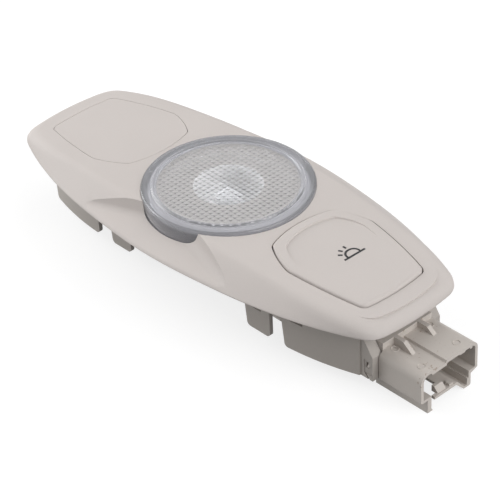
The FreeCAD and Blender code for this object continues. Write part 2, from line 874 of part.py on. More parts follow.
def housing_outline(inset=0.0):
    """Plan outline of the rear housing: straight sides that bow in towards both ends."""
    ends = (housing_left + inset, housing_right - inset)
    half = housing_half_width - inset
    radius = housing_bow_radius - inset
    edges = []
    points = []
    for end in ends:
        sign = 1 if end > 0 else -1
        past = abs(end) - housing_straight
        half_past = past / 2
        middle_drop = radius - math.sqrt(radius * radius - half_past * half_past)
        end_drop = radius - math.sqrt(radius * radius - past * past)
        start = Vector(sign * housing_straight, -half, 0)
        middle = Vector(sign * (housing_straight + half_past), -half + middle_drop, 0)
        finish = Vector(end, -half + end_drop, 0)
        edges.append(Part.Arc(start, middle, finish).toShape())
        points.append((start, finish))
    edges.append(Part.makeLine(points[0][0], points[1][0]))
    flipped = [mirrored_y(edge) for edge in edges]
    for start, finish in points:
        edges.append(Part.makeLine(finish, Vector(finish.x, -finish.y, 0)))
    return Part.Wire(Part.__sortEdges__(edges + flipped))


def skirt_side(left, right):
    """Block that keeps one skirt: its side view, with a leaning left end and rounded lower corners."""
    lean = skirt_lean * (notch_top - skirt_bottom)
    view = [(left, notch_top), (left + lean, skirt_bottom), (right, skirt_bottom), (right, notch_top)]
    block = slice_along_y(view, -side_span, -tower_half_width)
    lower = []
    for edge in block.Edges:
        if edge.BoundBox.YLength > tower_half_width and edge.BoundBox.ZMax < skirt_bottom + tiny:
            lower.append(edge)
    return block.makeFillet(skirt_corner, lower)


def housing_skirts():
    """Long and short skirts on both sides, parts of the housing wall that reach down."""
    spans = (long_skirt_left, short_skirt_left, short_skirt_right, long_skirt_right)
    inner = prism(housing_outline(housing_wall), skirt_bottom - housing_wall, 0.0)
    wall = prism(housing_outline(), skirt_bottom, notch_top).cut(inner)
    near = [skirt_side(left, right).common(wall) for left, right in spans]
    return near + [mirrored_y(skirt) for skirt in near]


def tower_block():
    """Outer form of the near tower, its top raked along the lamp and leaning outwards."""
    back = housing_right - housing_wall
    profile = [
        (back, skirt_bottom),
        (tower_end, skirt_bottom),
        (tower_end, tower_peak),
        (back, tower_peak + (tower_end - back) * tower_slope),
    ]
    block = slice_along_y(profile, -tower_half_width, -tower_inner_half_width)
    inner = tower_inner_half_width
    lean = [
        (-side_span, tower_peak - tower_side_slope * (side_span - tower_half_width)),
        (-inner, tower_peak + tower_side_slope * (tower_half_width - inner)),
        (-inner, side_span),
        (-side_span, side_span),
    ]
    raked = slice_along_x(lean, 0.0, tower_end + tower_wall)
    shear = FreeCAD.Matrix()
    shear.A31 = -tower_slope
    raked = raked.transformGeometry(shear)
    raked.translate(Vector(0, 0, tower_slope * tower_end))
    return block.cut(raked)


def towers():
    """Two hollow towers beside the connector, with a pocket for its ears and a latch window each."""
    outside = -side_span
    pocket = box(
        (header_back - ear_play, -tower_half_width + tower_wall, skirt_bottom - tower_wall),
        (tower_end - tower_wall, -tower_inner_half_width + tower_wall, tower_pocket_top),
    )
    window = box(
        (latch_window[0], outside, latch_window_bottom),
        (latch_window[1], -tower_half_width + 2 * tower_wall, latch_window_bottom + latch_window_height),
    )
    recess = box(
        (latch_recess[0], outside, latch_recess_heights[0]),
        (latch_recess[1], -tower_half_width + latch_recess_depth, latch_recess_heights[1]),
    )
    groove_end = latch_groove_start + latch_groove_run
    groove = [
        (latch_groove_start, latch_recess_heights[0]),
        (latch_groove_start + latch_groove_width, latch_recess_heights[0]),
        (groove_end + latch_groove_width, skirt_bottom - tiny),
        (groove_end, skirt_bottom - tiny),
    ]
    near = tower_block().cut(pocket).cut(window).cut(recess)
    near = near.cut(slice_along_y(groove, outside, -tower_half_width + latch_groove_depth))
    return [near, mirrored_y(near)]


def housing_floor_bottom():
    """Level of the underside of the housing floor."""
    return housing_floor_top - housing_floor_thickness


def rear_housing():
    """Back moulding: tray with a floor, skirts, towers, a light chimney and bulb opening."""
    floor_bottom = housing_floor_bottom()
    outside = prism(housing_outline(), notch_top, 0.0)
    room = prism(housing_outline(housing_wall), housing_floor_top, crown_height)
    under_room = prism(housing_outline(housing_wall), skirt_bottom, floor_bottom)
    end = housing_right - housing_wall
    lowered = box((end - housing_wall, -side_span, end_wall_top), (housing_right, side_span, crown_height))
    tray = outside.cut(room).cut(under_room).cut(lowered)
    chimney = cylinder(chimney_radius + chimney_wall, floor_bottom, -bowl_flange_thickness)
    chimney = chimney.cut(cylinder(chimney_radius, floor_bottom, crown_height))
    body = joined([tray, chimney] + housing_skirts() + towers() + floor_ribs())
    for cutter in hook_windows() + arm_rooms() + track_passages() + [holder_opening()]:
        body = body.cut(cutter)
    return body


def hook_windows():
    """Cutters for the windows in the housing wall that the barbs of the cover snap into."""
    wall = prism(housing_outline(-housing_wall), skirt_bottom, 0.0)
    wall = wall.cut(prism(housing_outline(housing_wall), skirt_bottom, 0.0))
    windows = []
    for (x, width), bottom in zip(window_hooks, window_bottoms):
        window = box((x - width / 2, -side_span, bottom), (x + width / 2, side_span, bottom + window_height))
        window = window.common(wall)
        windows += [window, mirrored_x(window)]
    return windows


def arm_rooms():
    """Slots in the housing floor for the hook arms that reach below it."""
    play = arm_room_play
    places = list(window_hooks) + [(-x, width) for x, width in window_hooks] + list(notch_hooks)
    rooms = []
    for x, width in places:
        room = box(
            (x - width / 2 - play, -housing_edge_y(x) + housing_wall, housing_floor_bottom() - housing_wall),
            (x + width / 2 + play, -hook_face_y(x) + hook_thickness + 2 * play, housing_floor_top + play),
        )
        rooms += [room, mirrored_y(room)]
    return rooms


def track_passages():
    """Slots for the tracks, through the end wall to the connector and through the chimney."""
    roof = housing_floor_top + track_thickness + track_head_room
    passages = []
    for y in (supply_y, signal_y, ground_y):
        half = track_width / 2 + track_play
        start = housing_right - 2 * housing_wall
        passages.append(box((start, y - half, housing_floor_top), (tower_end, y + half, roof)))
    half = chimney_slot / 2
    reach = chimney_radius + 2 * chimney_wall
    passages.append(box((-half, chimney_radius - chimney_wall, housing_floor_top), (half, reach, roof)))
    return passages + [mirrored_y(passages[-1])]


def floor_ribs():
    """Low stiffening ribs across the unused end of the floor."""
    half_rib = floor_rib_width / 2
    bottom, top = housing_floor_top - tiny, housing_floor_top + floor_rib_height
    ribs = []
    for x in cross_ribs:
        half = housing_edge_y(x) - housing_wall / 2
        ribs.append(box((x - half_rib, -half, bottom), (x + half_rib, half, top)))
    for y in (-long_rib_offset, long_rib_offset):
        ribs.append(box((long_rib_start, y - half_rib, bottom), (cross_ribs[-1], y + half_rib, top)))
    return ribs


def holder_opening():
    """Round opening for the bulb holder, with two notches for its bayonet lugs."""
    bottom, top = housing_floor_bottom() - holder_play, housing_floor_top + holder_play
    reach = holder_radius + holder_lug_reach + holder_play
    half = holder_lug_width / 2 + holder_play
    notches = box((-reach, -half, bottom), (reach, half, top))
    return cylinder(holder_radius + holder_play, bottom, top).fuse(notches)


def shroud_outer():
    """Outer section of the connector shroud: a box with an upper step on two rails."""
    roof, side = shroud_roof, shroud_half_width
    groove = roof - key_groove_depth
    floor_low = socket_floor - socket_floor_thickness
    rail_inner = rail_half_width - rail_wall
    bevel_y, bevel_z = rail_foot_bevel
    return [
        (-rail_half_width, rail_bottom),
        (-rail_half_width, shroud_side_bottom),
        (-side, shroud_side_bottom),
        (-side, roof),
        (key_groove[0], roof),
        (key_groove[0] + key_groove_slant, groove),
        (key_groove[1] - key_groove_slant, groove),
        (key_groove[1], roof),
        (side, roof),
        (side, shroud_side_bottom + shroud_step),
        (rail_half_width, shroud_side_bottom - shroud_step),
        (rail_half_width, rail_bottom),
        (floor_far + floor_low - rail_bottom, rail_bottom),
        (floor_far, floor_low),
        (-rail_inner, floor_low),
        (-rail_inner, rail_bottom + bevel_z),
        (-rail_inner + bevel_y, rail_bottom),
    ]


def shroud_cavity():
    """Inner section of the connector socket."""
    roof = shroud_roof - shroud_wall
    groove = roof - key_groove_depth
    side = shroud_half_width - shroud_wall
    shelf = shroud_side_bottom + rail_shelf
    rail_inner = rail_half_width - rail_wall
    notch_y, notch_z = rail_notch
    rail_low = rail_bottom + rail_floor
    return [
        (-side, shelf),
        (-side, roof),
        (key_groove[0] - key_groove_slant, roof),
        (key_groove[0], groove),
        (key_groove[1], groove),
        (key_groove[1] + key_groove_slant, roof),
        (side, roof),
        (side, shelf),
        (rail_inner + notch_y, shelf),
        (rail_inner + notch_y, shelf - notch_z),
        (rail_inner, shelf - notch_z),
        (rail_inner, rail_low),
        (floor_far + socket_floor - rail_low, rail_low),
        (floor_far + floor_slant, socket_floor),
        (-rail_inner, socket_floor),
        (-rail_inner, shelf),
    ]


def rounded_lengthwise(block, y, z, radius):
    """Rounds the edges of a block that run along X through a place in its section."""
    lines = []
    for edge in block.Edges:
        bounds = edge.BoundBox
        if bounds.XLength > shroud_step and math.hypot(bounds.YMin - y, bounds.ZMin - z) < tiny:
            lines.append(edge)
    return block.makeFillet(radius, lines)


def shroud():
    """Open tube of the connector, with the openings in its floor for the plug's latch."""
    side = shroud_half_width
    tube = slice_along_x(shroud_outer(), shroud_start, mouth_x)
    tube = rounded_lengthwise(tube, -side, shroud_roof, shroud_near_corner)
    tube = rounded_lengthwise(tube, side, shroud_roof, shroud_far_corner)
    tube = rounded_lengthwise(tube, -side, shroud_side_bottom, shroud_lower_round)
    tube = rounded_lengthwise(tube, rail_half_width, rail_bottom, rail_round)
    cavity = slice_along_x(shroud_cavity(), shroud_start + shroud_back_wall, mouth_x + shroud_wall)
    inner_side, inner_roof = side - shroud_wall, shroud_roof - shroud_wall
    cavity = rounded_lengthwise(cavity, -inner_side, inner_roof, shroud_near_corner - shroud_wall)
    cavity = rounded_lengthwise(cavity, inner_side, inner_roof, shroud_far_corner - shroud_wall)
    low, high = socket_floor - 2 * socket_floor_thickness, socket_floor + tiny
    near_gap = box((floor_near_start, -rail_half_width + rail_wall, low), (mouth_x, floor_near, high))
    latch_gap = box((floor_slot[0], floor_near - rail_wall, low), (floor_slot[1], floor_slot_side, high))
    return tube.cut(cavity).cut(near_gap).cut(latch_gap)


def connector_header():
    """Connector moulding: shroud with rails and keys, gussets, back block and latch ears."""
    body = joined([shroud()] + header_block() + gussets() + socket_keys())
    marks = [(shroud_start + distance, y) for distance, y in ejector_marks_back]
    marks += [(mouth_x - distance, y) for distance, y in ejector_marks_front]
    for x, y in marks:
        body = body.cut(cylinder(ejector_mark_radius, shroud_roof - ejector_mark_depth, header_top, x, y))
    for y in (supply_y, signal_y, ground_y):
        body = body.cut(blade_room(y))
    return body


def header_block():
    """Back block between the towers and the ears that slide into them and latch."""
    bottom = socket_floor - socket_floor_thickness
    end = shroud_start + tiny
    pieces = [box((header_back, -header_half_width, bottom), (end, header_half_width, header_top))]
    rail_inner = rail_half_width - rail_wall
    rail_end = shroud_start + shroud_back_wall
    rail = box((header_back, rail_inner, rail_bottom), (rail_end, rail_half_width, socket_floor))
    ear_side = tower_half_width - tower_wall - ear_play
    ear = box(
        (header_back, header_half_width - tiny, skirt_bottom + ear_bottom_gap),
        (tower_end - tower_wall - ear_play, ear_side, tower_pocket_top - ear_top_gap),
    )
    tip = tower_half_width - ear_barb_tip_gap
    root = ear_side - tiny
    foot, shoulder, peak = ear_barb_heights
    barb = slice_along_x([(root, foot), (tip, foot), (tip, shoulder), (root, peak)], ear_barb[0], ear_barb[1])
    for piece in (rail, ear, barb):
        pieces += [piece, mirrored_y(piece)]
    return pieces


def gussets():
    """Two ribs that brace the shroud's roof against the back block."""
    low = shroud_roof - key_groove_depth - tiny
    profile = [
        (gusset_start, low),
        (gusset_start, header_top),
        (gusset_knee, header_top),
        (gusset_knee + (header_top - low) * gusset_run, low),
    ]
    half = gusset_thickness / 2
    return [slice_along_y(profile, y - half, y + half) for y in (-gusset_offset, gusset_offset)]


def socket_keys():
    """Key ribs under the roof, and the catch for the plug's latch on the floor."""
    roof = shroud_roof - shroud_wall
    start, end = key_rib_ends
    keys = [box((start, low, roof - depth), (end, high, roof + key_root)) for low, high, depth in key_ribs]
    back, peak, front = latch_bump_ends
    root = socket_floor - key_root
    top = socket_floor + latch_bump_height
    profile = [(back, root), (back, top), (peak, top), (front, socket_floor + latch_bump_foot), (front, root)]
    keys.append(slice_along_y(profile, latch_bump[0], latch_bump[1]))
    x, low, high = floor_key
    return keys + [box((x, low, root), (end, high, socket_floor + floor_key_height))]


def blade_path(y, play):
    """One connector blade: down from the floor track, then out into the socket."""
    half = blade_width / 2 + play
    thickness = track_thickness / 2 + play
    corner = (blade_bend_x - play, y - half, blade_level - thickness)
    back = blade_bend_x + track_thickness + play
    drop = box(corner, (back, y + half, housing_floor_top + track_thickness + play))
    return drop.fuse(box(corner, (blade_tip, y + half, blade_level + thickness)))


def blade_room(y):
    """Slot in the back block that a blade is pressed into."""
    half = blade_width / 2 + blade_play
    wide = track_width / 2 + blade_play
    back = blade_bend_x + track_thickness + blade_play
    roof = header_top + track_thickness
    above = box((blade_bend_x - blade_play, y - half, blade_level), (back, y + half, roof))
    entry = box((header_back - blade_play, y - wide, housing_floor_top - blade_play), (back, y + wide, roof))
    return blade_path(y, blade_play).fuse(above).fuse(entry)


def blade(y):
    """Blade with a tapered tip."""
    body = blade_path(y, 0.0)
    half = blade_width / 2
    low, high = blade_level - track_thickness, blade_level + track_thickness
    for sign in (1, -1):
        edge = y + sign * half
        corners = [
            Vector(blade_tip - blade_taper, edge, 0),
            Vector(blade_tip, edge, 0),
            Vector(blade_tip, edge - sign * blade_taper / 2, 0),
        ]
        body = body.cut(prism(Part.makePolygon(corners + [corners[0]]), low, high))
    return body


def strip(points):
    """Flat stamped strip along the housing floor: straight runs with rounded corners."""
    half = track_width / 2
    top = housing_floor_top + track_thickness
    pieces = [cylinder(half, housing_floor_top, top, x, y) for x, y in points[1:-1]]
    for start, end in zip(points, points[1:]):
        heading = math.degrees(math.atan2(end[1] - start[1], end[0] - start[0]))
        run = box((0.0, -half, housing_floor_top), (math.dist(start, end), half, top))
        run.rotate(Vector(0, 0, 0), Vector(0, 0, 1), heading)
        run.translate(Vector(start[0], start[1], 0))
        pieces.append(run)
    return pieces


def long_track(y, lane):
    """Run from a blade out to a lane beside the switch, along it and in to the bulb holder."""
    out, along = track_turn
    contact_end = math.copysign(track_contact_end, lane)
    return strip([(track_start(), y), (out, y), (along, lane), (0.0, lane), (0.0, contact_end)])


def track_start():
    """Where the floor tracks take over from the blades."""
    return blade_bend_x + track_thickness


def track_supply():
    """Feed from the connector to the first contact of the bulb holder."""
    return joined(long_track(supply_y, -track_lane) + [blade(supply_y)])


def track_signal():
    """Track from the second bulb contact to the door circuit's blade, with a branch to the switch."""
    foot = switch_x - terminal_offset
    branch = strip([(foot, track_lane), (foot, switch_width / 2 + terminal_gap)])
    return joined(long_track(signal_y, track_lane) + branch + [blade(signal_y), terminal_tab(foot, 1)])


def track_ground():
    """Short track from the ground blade to the switch."""
    foot = switch_x + terminal_offset
    side = -(switch_width + track_width) / 2 - terminal_gap
    points = [(track_start(), ground_y), (ground_turn_x, ground_y), (ground_turn_x, side)]
    points.append((foot - track_width / 2, side))
    return joined(strip(points) + [blade(ground_y), terminal_tab(foot, -1)])


def terminal_tab(x, sign):
    """Tab of a track that stands up against a switch terminal."""
    inner = switch_width / 2 + terminal_gap
    low, high = sorted((sign * inner, sign * (inner + track_thickness)))
    half = terminal_width / 2
    return box((x - half, low, housing_floor_top), (x + half, high, housing_floor_top + terminal_height))


def facetted(levels, sides):
    """Upright solid with flat facets between regular polygons, given by radius and height."""
    rings = []
    for radius, height in levels:
        turns = [math.radians(360) * side / sides for side in range(sides + 1)]
        rings.append([Vector(radius * math.cos(turn), radius * math.sin(turn), height) for turn in turns])
    outlines = [rings[0], rings[-1]]
    for low, high in zip(rings, rings[1:]):
        for side in range(sides):
            outlines.append([low[side], low[side + 1], high[side + 1], high[side], low[side]])
    facets = [Part.Face(Part.makePolygon(outline)) for outline in outlines]
    return Part.makeSolid(Part.makeShell(facets))


def bowl_levels(grow):
    """Radius and height up a parabolic bowl, from its bottom to its rim, grown evenly."""
    levels = []
    for step in range(bowl_steps + 1):
        share = step / bowl_steps
        radius = bowl_bottom_radius + (bowl_top_radius - bowl_bottom_radius) * math.sqrt(share)
        levels.append((radius + grow, bowl_bottom * (1 - share)))
    return levels


def reflector():
    """Silvered bowl with fine facets round the bulb, and a flange clamped under the lens well."""
    outside = facetted(bowl_levels(bowl_wall), bowl_sides)
    flange = [(bowl_flange_radius, -bowl_flange_thickness), (bowl_flange_radius, 0.0)]
    outside = outside.fuse(facetted(flange, bowl_sides))
    return outside.cut(facetted(bowl_levels(0.0), bowl_sides)).removeSplitter()


def bulb_shell(radius, bottom):
    """Round body of the bulb with a domed end, drawn in by straight steps round an arc."""
    spring = bulb_top - bulb_radius
    levels = [(radius, bottom)]
    for step in range(bulb_dome_steps):
        turn = math.radians(90) * step / bulb_dome_steps
        levels.append((radius * math.cos(turn), spring + radius * math.sin(turn)))
    levels.append((bulb_tip_radius, spring + radius))
    return facetted(levels, bulb_sides)


def bulb_glass():
    """Clear wedge-base bulb: hollow glass with a domed end and a flat pinched base."""
    outer = bulb_shell(bulb_radius, bulb_neck)
    inner = bulb_shell(bulb_radius - bulb_glass_wall, bulb_neck + bulb_pinch_height)
    base = box(
        (-bulb_base_width / 2, -bulb_base_thickness / 2, bulb_base_bottom),
        (bulb_base_width / 2, bulb_base_thickness / 2, bulb_neck + bulb_pinch_height / 2),
    )
    return outer.fuse(base).cut(inner).removeSplitter()


def bulb_filament():
    """Two support leads and the coiled filament between them."""
    half = lead_spacing / 2
    bottom = bulb_neck + bulb_pinch_height
    leads = [cylinder(lead_radius, bottom, filament_level, x, 0.0) for x in (-half, half)]
    coil = Part.makeCylinder(filament_radius, lead_spacing, Vector(-half, 0, filament_level), Vector(1, 0, 0))
    return joined(leads + [coil])


def bulb_holder():
    """Twist-in holder: body with a slot for the bulb, flange, two lugs and a finger grip."""
    flange_top = housing_floor_bottom() - holder_play
    body = cylinder(holder_radius, holder_bottom, holder_top)
    flange = cylinder(holder_flange_radius, flange_top - holder_flange_thickness, flange_top)
    grip = box(
        (-grip_length / 2, -grip_thickness / 2, holder_bottom - grip_height),
        (grip_length / 2, grip_thickness / 2, holder_bottom + tiny),
    )
    lug_bottom = housing_floor_top + holder_lug_gap
    half = holder_lug_width / 2
    reach = holder_radius + holder_lug_reach
    lugs = box((-half, -reach, lug_bottom), (half, reach, lug_bottom + holder_lug_thickness))
    lugs.rotate(Vector(0, 0, 0), Vector(0, 0, 1), 45)
    play = holder_slot_play
    slot = box(
        (-bulb_base_width / 2 - play, -bulb_base_thickness / 2 - play, bulb_base_bottom - play),
        (bulb_base_width / 2 + play, bulb_base_thickness / 2 + play, holder_top),
    )
    half = contact_width / 2 + play
    channel = box((-half, -holder_radius, holder_channel_bottom), (half, holder_radius, holder_top))
    return joined([body, flange, grip, lugs]).cut(slot).cut(channel)


def bulb_contact(sign):
    """Spring contact: from the bulb's base, over the holder's edge and down on to a track."""
    thickness = contact_thickness
    inner = bulb_base_thickness / 2 + tiny
    low = housing_floor_top - housing_floor_thickness
    foot = housing_floor_top + track_thickness
    top = foot + contact_rise
    heel, toe = contact_foot
    slant = contact_foot_slant
    points = [
        (inner, low),
        (inner + thickness, low),
        (inner + thickness, top - thickness),
        (heel - slant, top - thickness),
        (heel, foot),
        (toe, foot),
        (toe, foot + thickness),
        (heel + thickness, foot + thickness),
        (heel + thickness - slant, top),
        (inner, top),
    ]
    return slice_along_x([(sign * y, z) for y, z in points], -contact_width / 2, contact_width / 2)


def switch_case():
    """Upper shell of the push switch, open below, with a square guide for the slider."""
    half_x, half_y = switch_length / 2, switch_width / 2
    bottom = switch_base_top()
    shell = box((switch_x - half_x, -half_y, bottom), (switch_x + half_x, half_y, switch_top))
    hollow = box(
        (switch_x - half_x + switch_wall, -half_y + switch_wall, bottom),
        (switch_x + half_x - switch_wall, half_y - switch_wall, switch_top - switch_wall),
    )
    half_stem = slider_stem / 2 + slider_play
    guide = box((switch_x - half_stem, -half_stem, bottom), (switch_x + half_stem, half_stem, switch_top))
    return shell.cut(hollow).cut(guide)


def switch_base_top():
    """Level of the top of the switch's floor plate."""
    return housing_floor_top + switch_base_thickness


def slider_head_top():
    """Level of the slider's head at rest, just under the roof of the case."""
    return switch_top - switch_wall - slider_top_gap


def bridge_bottom():
    """Level of the underside of the contact strip at rest."""
    return slider_head_top() - slider_head_thickness - bridge_thickness


def terminal_x(sign):
    """Place along the lamp of the switch terminal that comes out on one long side."""
    return switch_x - sign * terminal_offset


def switch_base():
    """Floor plate of the switch with a spigot for the spring and grooves for the terminals."""
    half_x, half_y = switch_length / 2, switch_width / 2
    top = switch_base_top()
    plate = box((switch_x - half_x, -half_y, housing_floor_top), (switch_x + half_x, half_y, top))
    spigot_radius = spring_radius - spring_wire - spigot_gap
    plate = plate.fuse(cylinder(spigot_radius, top - tiny, top + spigot_height, switch_x, 0.0))
    half = terminal_width / 2 + tiny
    for sign in (1, -1):
        x = terminal_x(sign)
        ends = sorted((sign * (terminal_inner_end - hook_play), sign * half_y))
        plate = plate.cut(box((x - half, ends[0], top - terminal_thickness - tiny), (x + half, ends[1], top)))
    return plate


def switch_terminal(sign):
    """Fixed contact of the switch: a strip with a raised pad that the slider's strip meets."""
    top = switch_base_top()
    pad_top = bridge_bottom() - button_travel - terminal_open_gap
    x = terminal_x(sign)
    half = terminal_width / 2
    inner, outer = sign * terminal_inner_end, sign * (switch_width / 2 + terminal_gap)
    low, high = sorted((inner, outer))
    strip_piece = box((x - half, low, top - terminal_thickness), (x + half, high, top - tiny))
    low, high = sorted((inner, inner + sign * terminal_pad_length))
    pad = box((x - half, low, top - terminal_thickness), (x + half, high, pad_top))
    return strip_piece.fuse(pad).removeSplitter()


def switch_slider():
    """Slider: a square stem up to the button's post and a wide head inside the case."""
    top = slider_head_top()
    half_x, half_y = slider_head[0] / 2, slider_head[1] / 2
    head = box((switch_x - half_x, -half_y, top - slider_head_thickness), (switch_x + half_x, half_y, top))
    half = slider_stem / 2
    stem = box((switch_x - half, -half, top - tiny), (switch_x + half, half, slider_top))
    return head.fuse(stem).removeSplitter()


def switch_bridge():
    """Contact strip under the slider that joins the two fixed contacts when pressed."""
    low, high = bridge_bottom(), bridge_bottom() + bridge_thickness
    half_x = terminal_offset + terminal_width / 2
    half_y = slider_head[1] / 2
    plate = box((switch_x - half_x, -half_y, low), (switch_x + half_x, half_y, high))
    return plate.cut(cylinder(spring_radius + spring_wire + spring_room, low, high, switch_x, 0.0))


def switch_spring():
    """Return spring between the base and the slider: round wire lofted along a helix."""
    bottom = switch_base_top() + spring_wire
    top = slider_head_top() - slider_head_thickness - spring_wire
    steps = int(spring_turns * spring_steps)
    sections = []
    for step in range(steps + 1):
        turn = math.radians(360) * step / spring_steps
        level = bottom + (top - bottom) * step / steps
        points = []
        for side in range(spring_sides):
            angle = math.radians(360) * side / spring_sides
            radius = spring_radius + spring_wire * math.cos(angle)
            height = level + spring_wire * math.sin(angle)
            points.append(Vector(switch_x + radius * math.cos(turn), radius * math.sin(turn), height))
        sections.append(Part.makePolygon(points + [points[0]]))
    return Part.makeLoft(sections, True, True)


def write_parts():
    """Builds every piece and writes each to its own file."""
    pieces = {
        "bezel": bezel(),
        "lens": lens(),
        "blank_cover": blank_cover(),
        "button_cap": button_cap(),
        "rear_housing": rear_housing(),
        "connector_header": connector_header(),
        "track_supply": track_supply(),
        "track_signal": track_signal(),
        "track_ground": track_ground(),
        "reflector": reflector(),
        "bulb_glass": bulb_glass(),
        "bulb_filament": bulb_filament(),
        "bulb_holder": bulb_holder(),
        "bulb_contact_supply": bulb_contact(-1),
        "bulb_contact_return": bulb_contact(1),
        "switch_case": switch_case(),
        "switch_base": switch_base(),
        "switch_terminal_signal": switch_terminal(1),
        "switch_terminal_ground": switch_terminal(-1),
        "switch_slider": switch_slider(),
        "switch_bridge": switch_bridge(),
        "switch_spring": switch_spring(),
    }
    os.makedirs("parts", exist_ok=True)
    for name, shape in pieces.items():
        shape.exportStep("parts/" + name + ".step")
        print(name, len(shape.Solids), shape.isValid(), round(shape.Volume, 1))


write_parts()
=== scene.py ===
import math

import bmesh
import bpy
import numpy as np
from bpy.props import FloatProperty, FloatVectorProperty, IntProperty, PointerProperty
from mathutils import Matrix, Vector


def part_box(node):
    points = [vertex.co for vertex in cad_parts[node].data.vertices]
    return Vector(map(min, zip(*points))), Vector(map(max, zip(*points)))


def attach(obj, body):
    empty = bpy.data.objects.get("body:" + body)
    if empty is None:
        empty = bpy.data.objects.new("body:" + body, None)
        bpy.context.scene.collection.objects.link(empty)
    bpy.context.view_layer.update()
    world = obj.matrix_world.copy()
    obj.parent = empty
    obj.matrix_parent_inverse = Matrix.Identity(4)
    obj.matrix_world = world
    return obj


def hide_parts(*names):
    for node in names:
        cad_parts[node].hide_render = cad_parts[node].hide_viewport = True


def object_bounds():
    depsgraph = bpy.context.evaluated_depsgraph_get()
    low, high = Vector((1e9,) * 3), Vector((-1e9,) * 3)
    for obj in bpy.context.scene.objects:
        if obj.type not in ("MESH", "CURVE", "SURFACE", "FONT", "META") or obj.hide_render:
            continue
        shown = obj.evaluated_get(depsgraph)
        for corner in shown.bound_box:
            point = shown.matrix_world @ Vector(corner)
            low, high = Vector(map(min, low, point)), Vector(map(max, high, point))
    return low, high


bl_info = {
    "name": "Car dome light",
    "version": (1, 0, 0),
    "blender": (4, 5, 0),
    "location": "3D View > Sidebar > Dome light",
    "description": "Dresses the packed car dome light: clear lens, silvered bowl, bulb, print and stage",
    "category": "Object",
}

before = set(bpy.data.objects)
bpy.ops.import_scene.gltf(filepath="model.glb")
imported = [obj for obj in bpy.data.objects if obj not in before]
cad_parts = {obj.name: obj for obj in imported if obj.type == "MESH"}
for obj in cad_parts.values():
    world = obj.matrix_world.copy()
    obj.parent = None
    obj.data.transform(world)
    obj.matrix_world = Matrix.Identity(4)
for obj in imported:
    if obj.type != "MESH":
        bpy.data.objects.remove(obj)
CAD_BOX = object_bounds()
MM = 0.001
TURN = 2 * math.pi

# Height of the floor of the lens well, which the lens and the plate in it stand on.
WELL_FLOOR = 2.0 * MM

# How strongly clear and solid plastic bend light.
PLASTIC_IOR = 1.5

# Height of the faint grain on the mouldings that aren't textured.
PLAIN_GRAIN_HEIGHT = 0.02 * MM


class LampColours(bpy.types.PropertyGroup):
    """Colours of the mouldings, the print and the metal pieces."""

    cover: FloatVectorProperty(
        name="Cover", description="Grained plastic of the cover and the button", subtype="COLOR",
        default=(0.590, 0.545, 0.520), min=0, max=1)
    # Kept a little darker than the plastic's own tone: painted shade for the housing's sides under the
    # cover. The connector gets a lighter copy of it.
    housing: FloatVectorProperty(
        name="Housing", description="Smooth plastic of the rear housing and the connector",
        subtype="COLOR", default=(0.425, 0.392, 0.362), min=0, max=1)
    print_ink: FloatVectorProperty(
        name="Print", description="Ink of the lamp symbol", subtype="COLOR",
        default=(0.006, 0.006, 0.007), min=0, max=1)
    lens: FloatVectorProperty(
        name="Lens", description="Tint of the clear lens", subtype="COLOR",
        default=(0.93, 0.94, 0.97), min=0, max=1)
    lens_edge: FloatVectorProperty(
        name="Lens edge", description="Blue-grey cast of the thick rim, which is seen edge on",
        subtype="COLOR", default=(0.60, 0.605, 0.645), min=0, max=1)
    plate: FloatVectorProperty(
        name="Plate", description="Pale plate under the optic", subtype="COLOR",
        default=(0.435, 0.413, 0.391), min=0, max=1)
    silver: FloatVectorProperty(
        name="Silver", description="Silvered coat of the bowl", subtype="COLOR",
        default=(0.91, 0.90, 0.89), min=0, max=1)
    brass: FloatVectorProperty(
        name="Tracks", description="Tinned brass of the tracks and contacts", subtype="COLOR",
        default=(0.62, 0.58, 0.50), min=0, max=1)


class LampLens(bpy.types.PropertyGroup):
    """Sizes of the optic under the disc of the lens and of the plate below it."""

    pitch: FloatProperty(
        name="Pillow pitch", description="Side of one square pillow of the optic", unit="LENGTH",
        default=2.02 * MM)
    relief: FloatProperty(
        name="Pillow relief", description="Height of one pillow", unit="LENGTH", default=0.18 * MM)
    plate_level: FloatProperty(
        name="Plate level", description="Height of the plate under the optic", unit="LENGTH",
        default=7.65 * MM)
    segments: IntProperty(
        name="Segments", description="Steps round the lens", default=576, min=96, max=720)


class LampSymbol(bpy.types.PropertyGroup):
    """Sizes of the printed lamp symbol on the button."""

    stroke: FloatProperty(
        name="Stroke", description="Width of the printed lines", unit="LENGTH", default=0.78 * MM)
    lift: FloatProperty(
        name="Lift", description="Height of the ink over the button", unit="LENGTH",
        default=0.03 * MM)


class LampStage(bpy.types.PropertyGroup):
    """Floor and lamps of the studio."""

    floor_colour: FloatVectorProperty(
        name="Floor", description="Pale floor as the object is lit by it", subtype="COLOR",
        default=(0.28, 0.28, 0.28), min=0, max=1)
    world: FloatProperty(
        name="World", description="Strength of the even light from all round", default=0.345)
    back: FloatProperty(
        name="Back", description="Power of the soft lamp high behind", unit="POWER", default=2.0)
    left: FloatProperty(
        name="Left", description="Power of the soft lamp at the left end", unit="POWER", default=7.0)
    front: FloatProperty(
        name="Front", description="Power of the soft lamp at the near left", unit="POWER",
        default=1.8)
    right: FloatProperty(
        name="Right", description="Power of the soft lamp at the right end", unit="POWER",
        default=6.6)


def settings(group):
    """The scene's own copy of one property group."""
    return getattr(bpy.context.scene, group)


def surface(name, points, faces, material, smooth_angle=35.0):
    """Object from an array of points and lists of faces, smooth but for edges past an angle."""
    mesh = bpy.data.meshes.new(name)
    mesh.from_pydata(points.tolist(), [], faces)
    mesh.polygons.foreach_set("use_smooth", np.ones(len(mesh.polygons), bool))
    mesh.set_sharp_from_angle(angle=math.radians(smooth_angle))
    mesh.update()
    mesh.materials.append(material)
    piece = bpy.data.objects.new(name, mesh)
    bpy.context.scene.collection.objects.link(piece)
    return piece


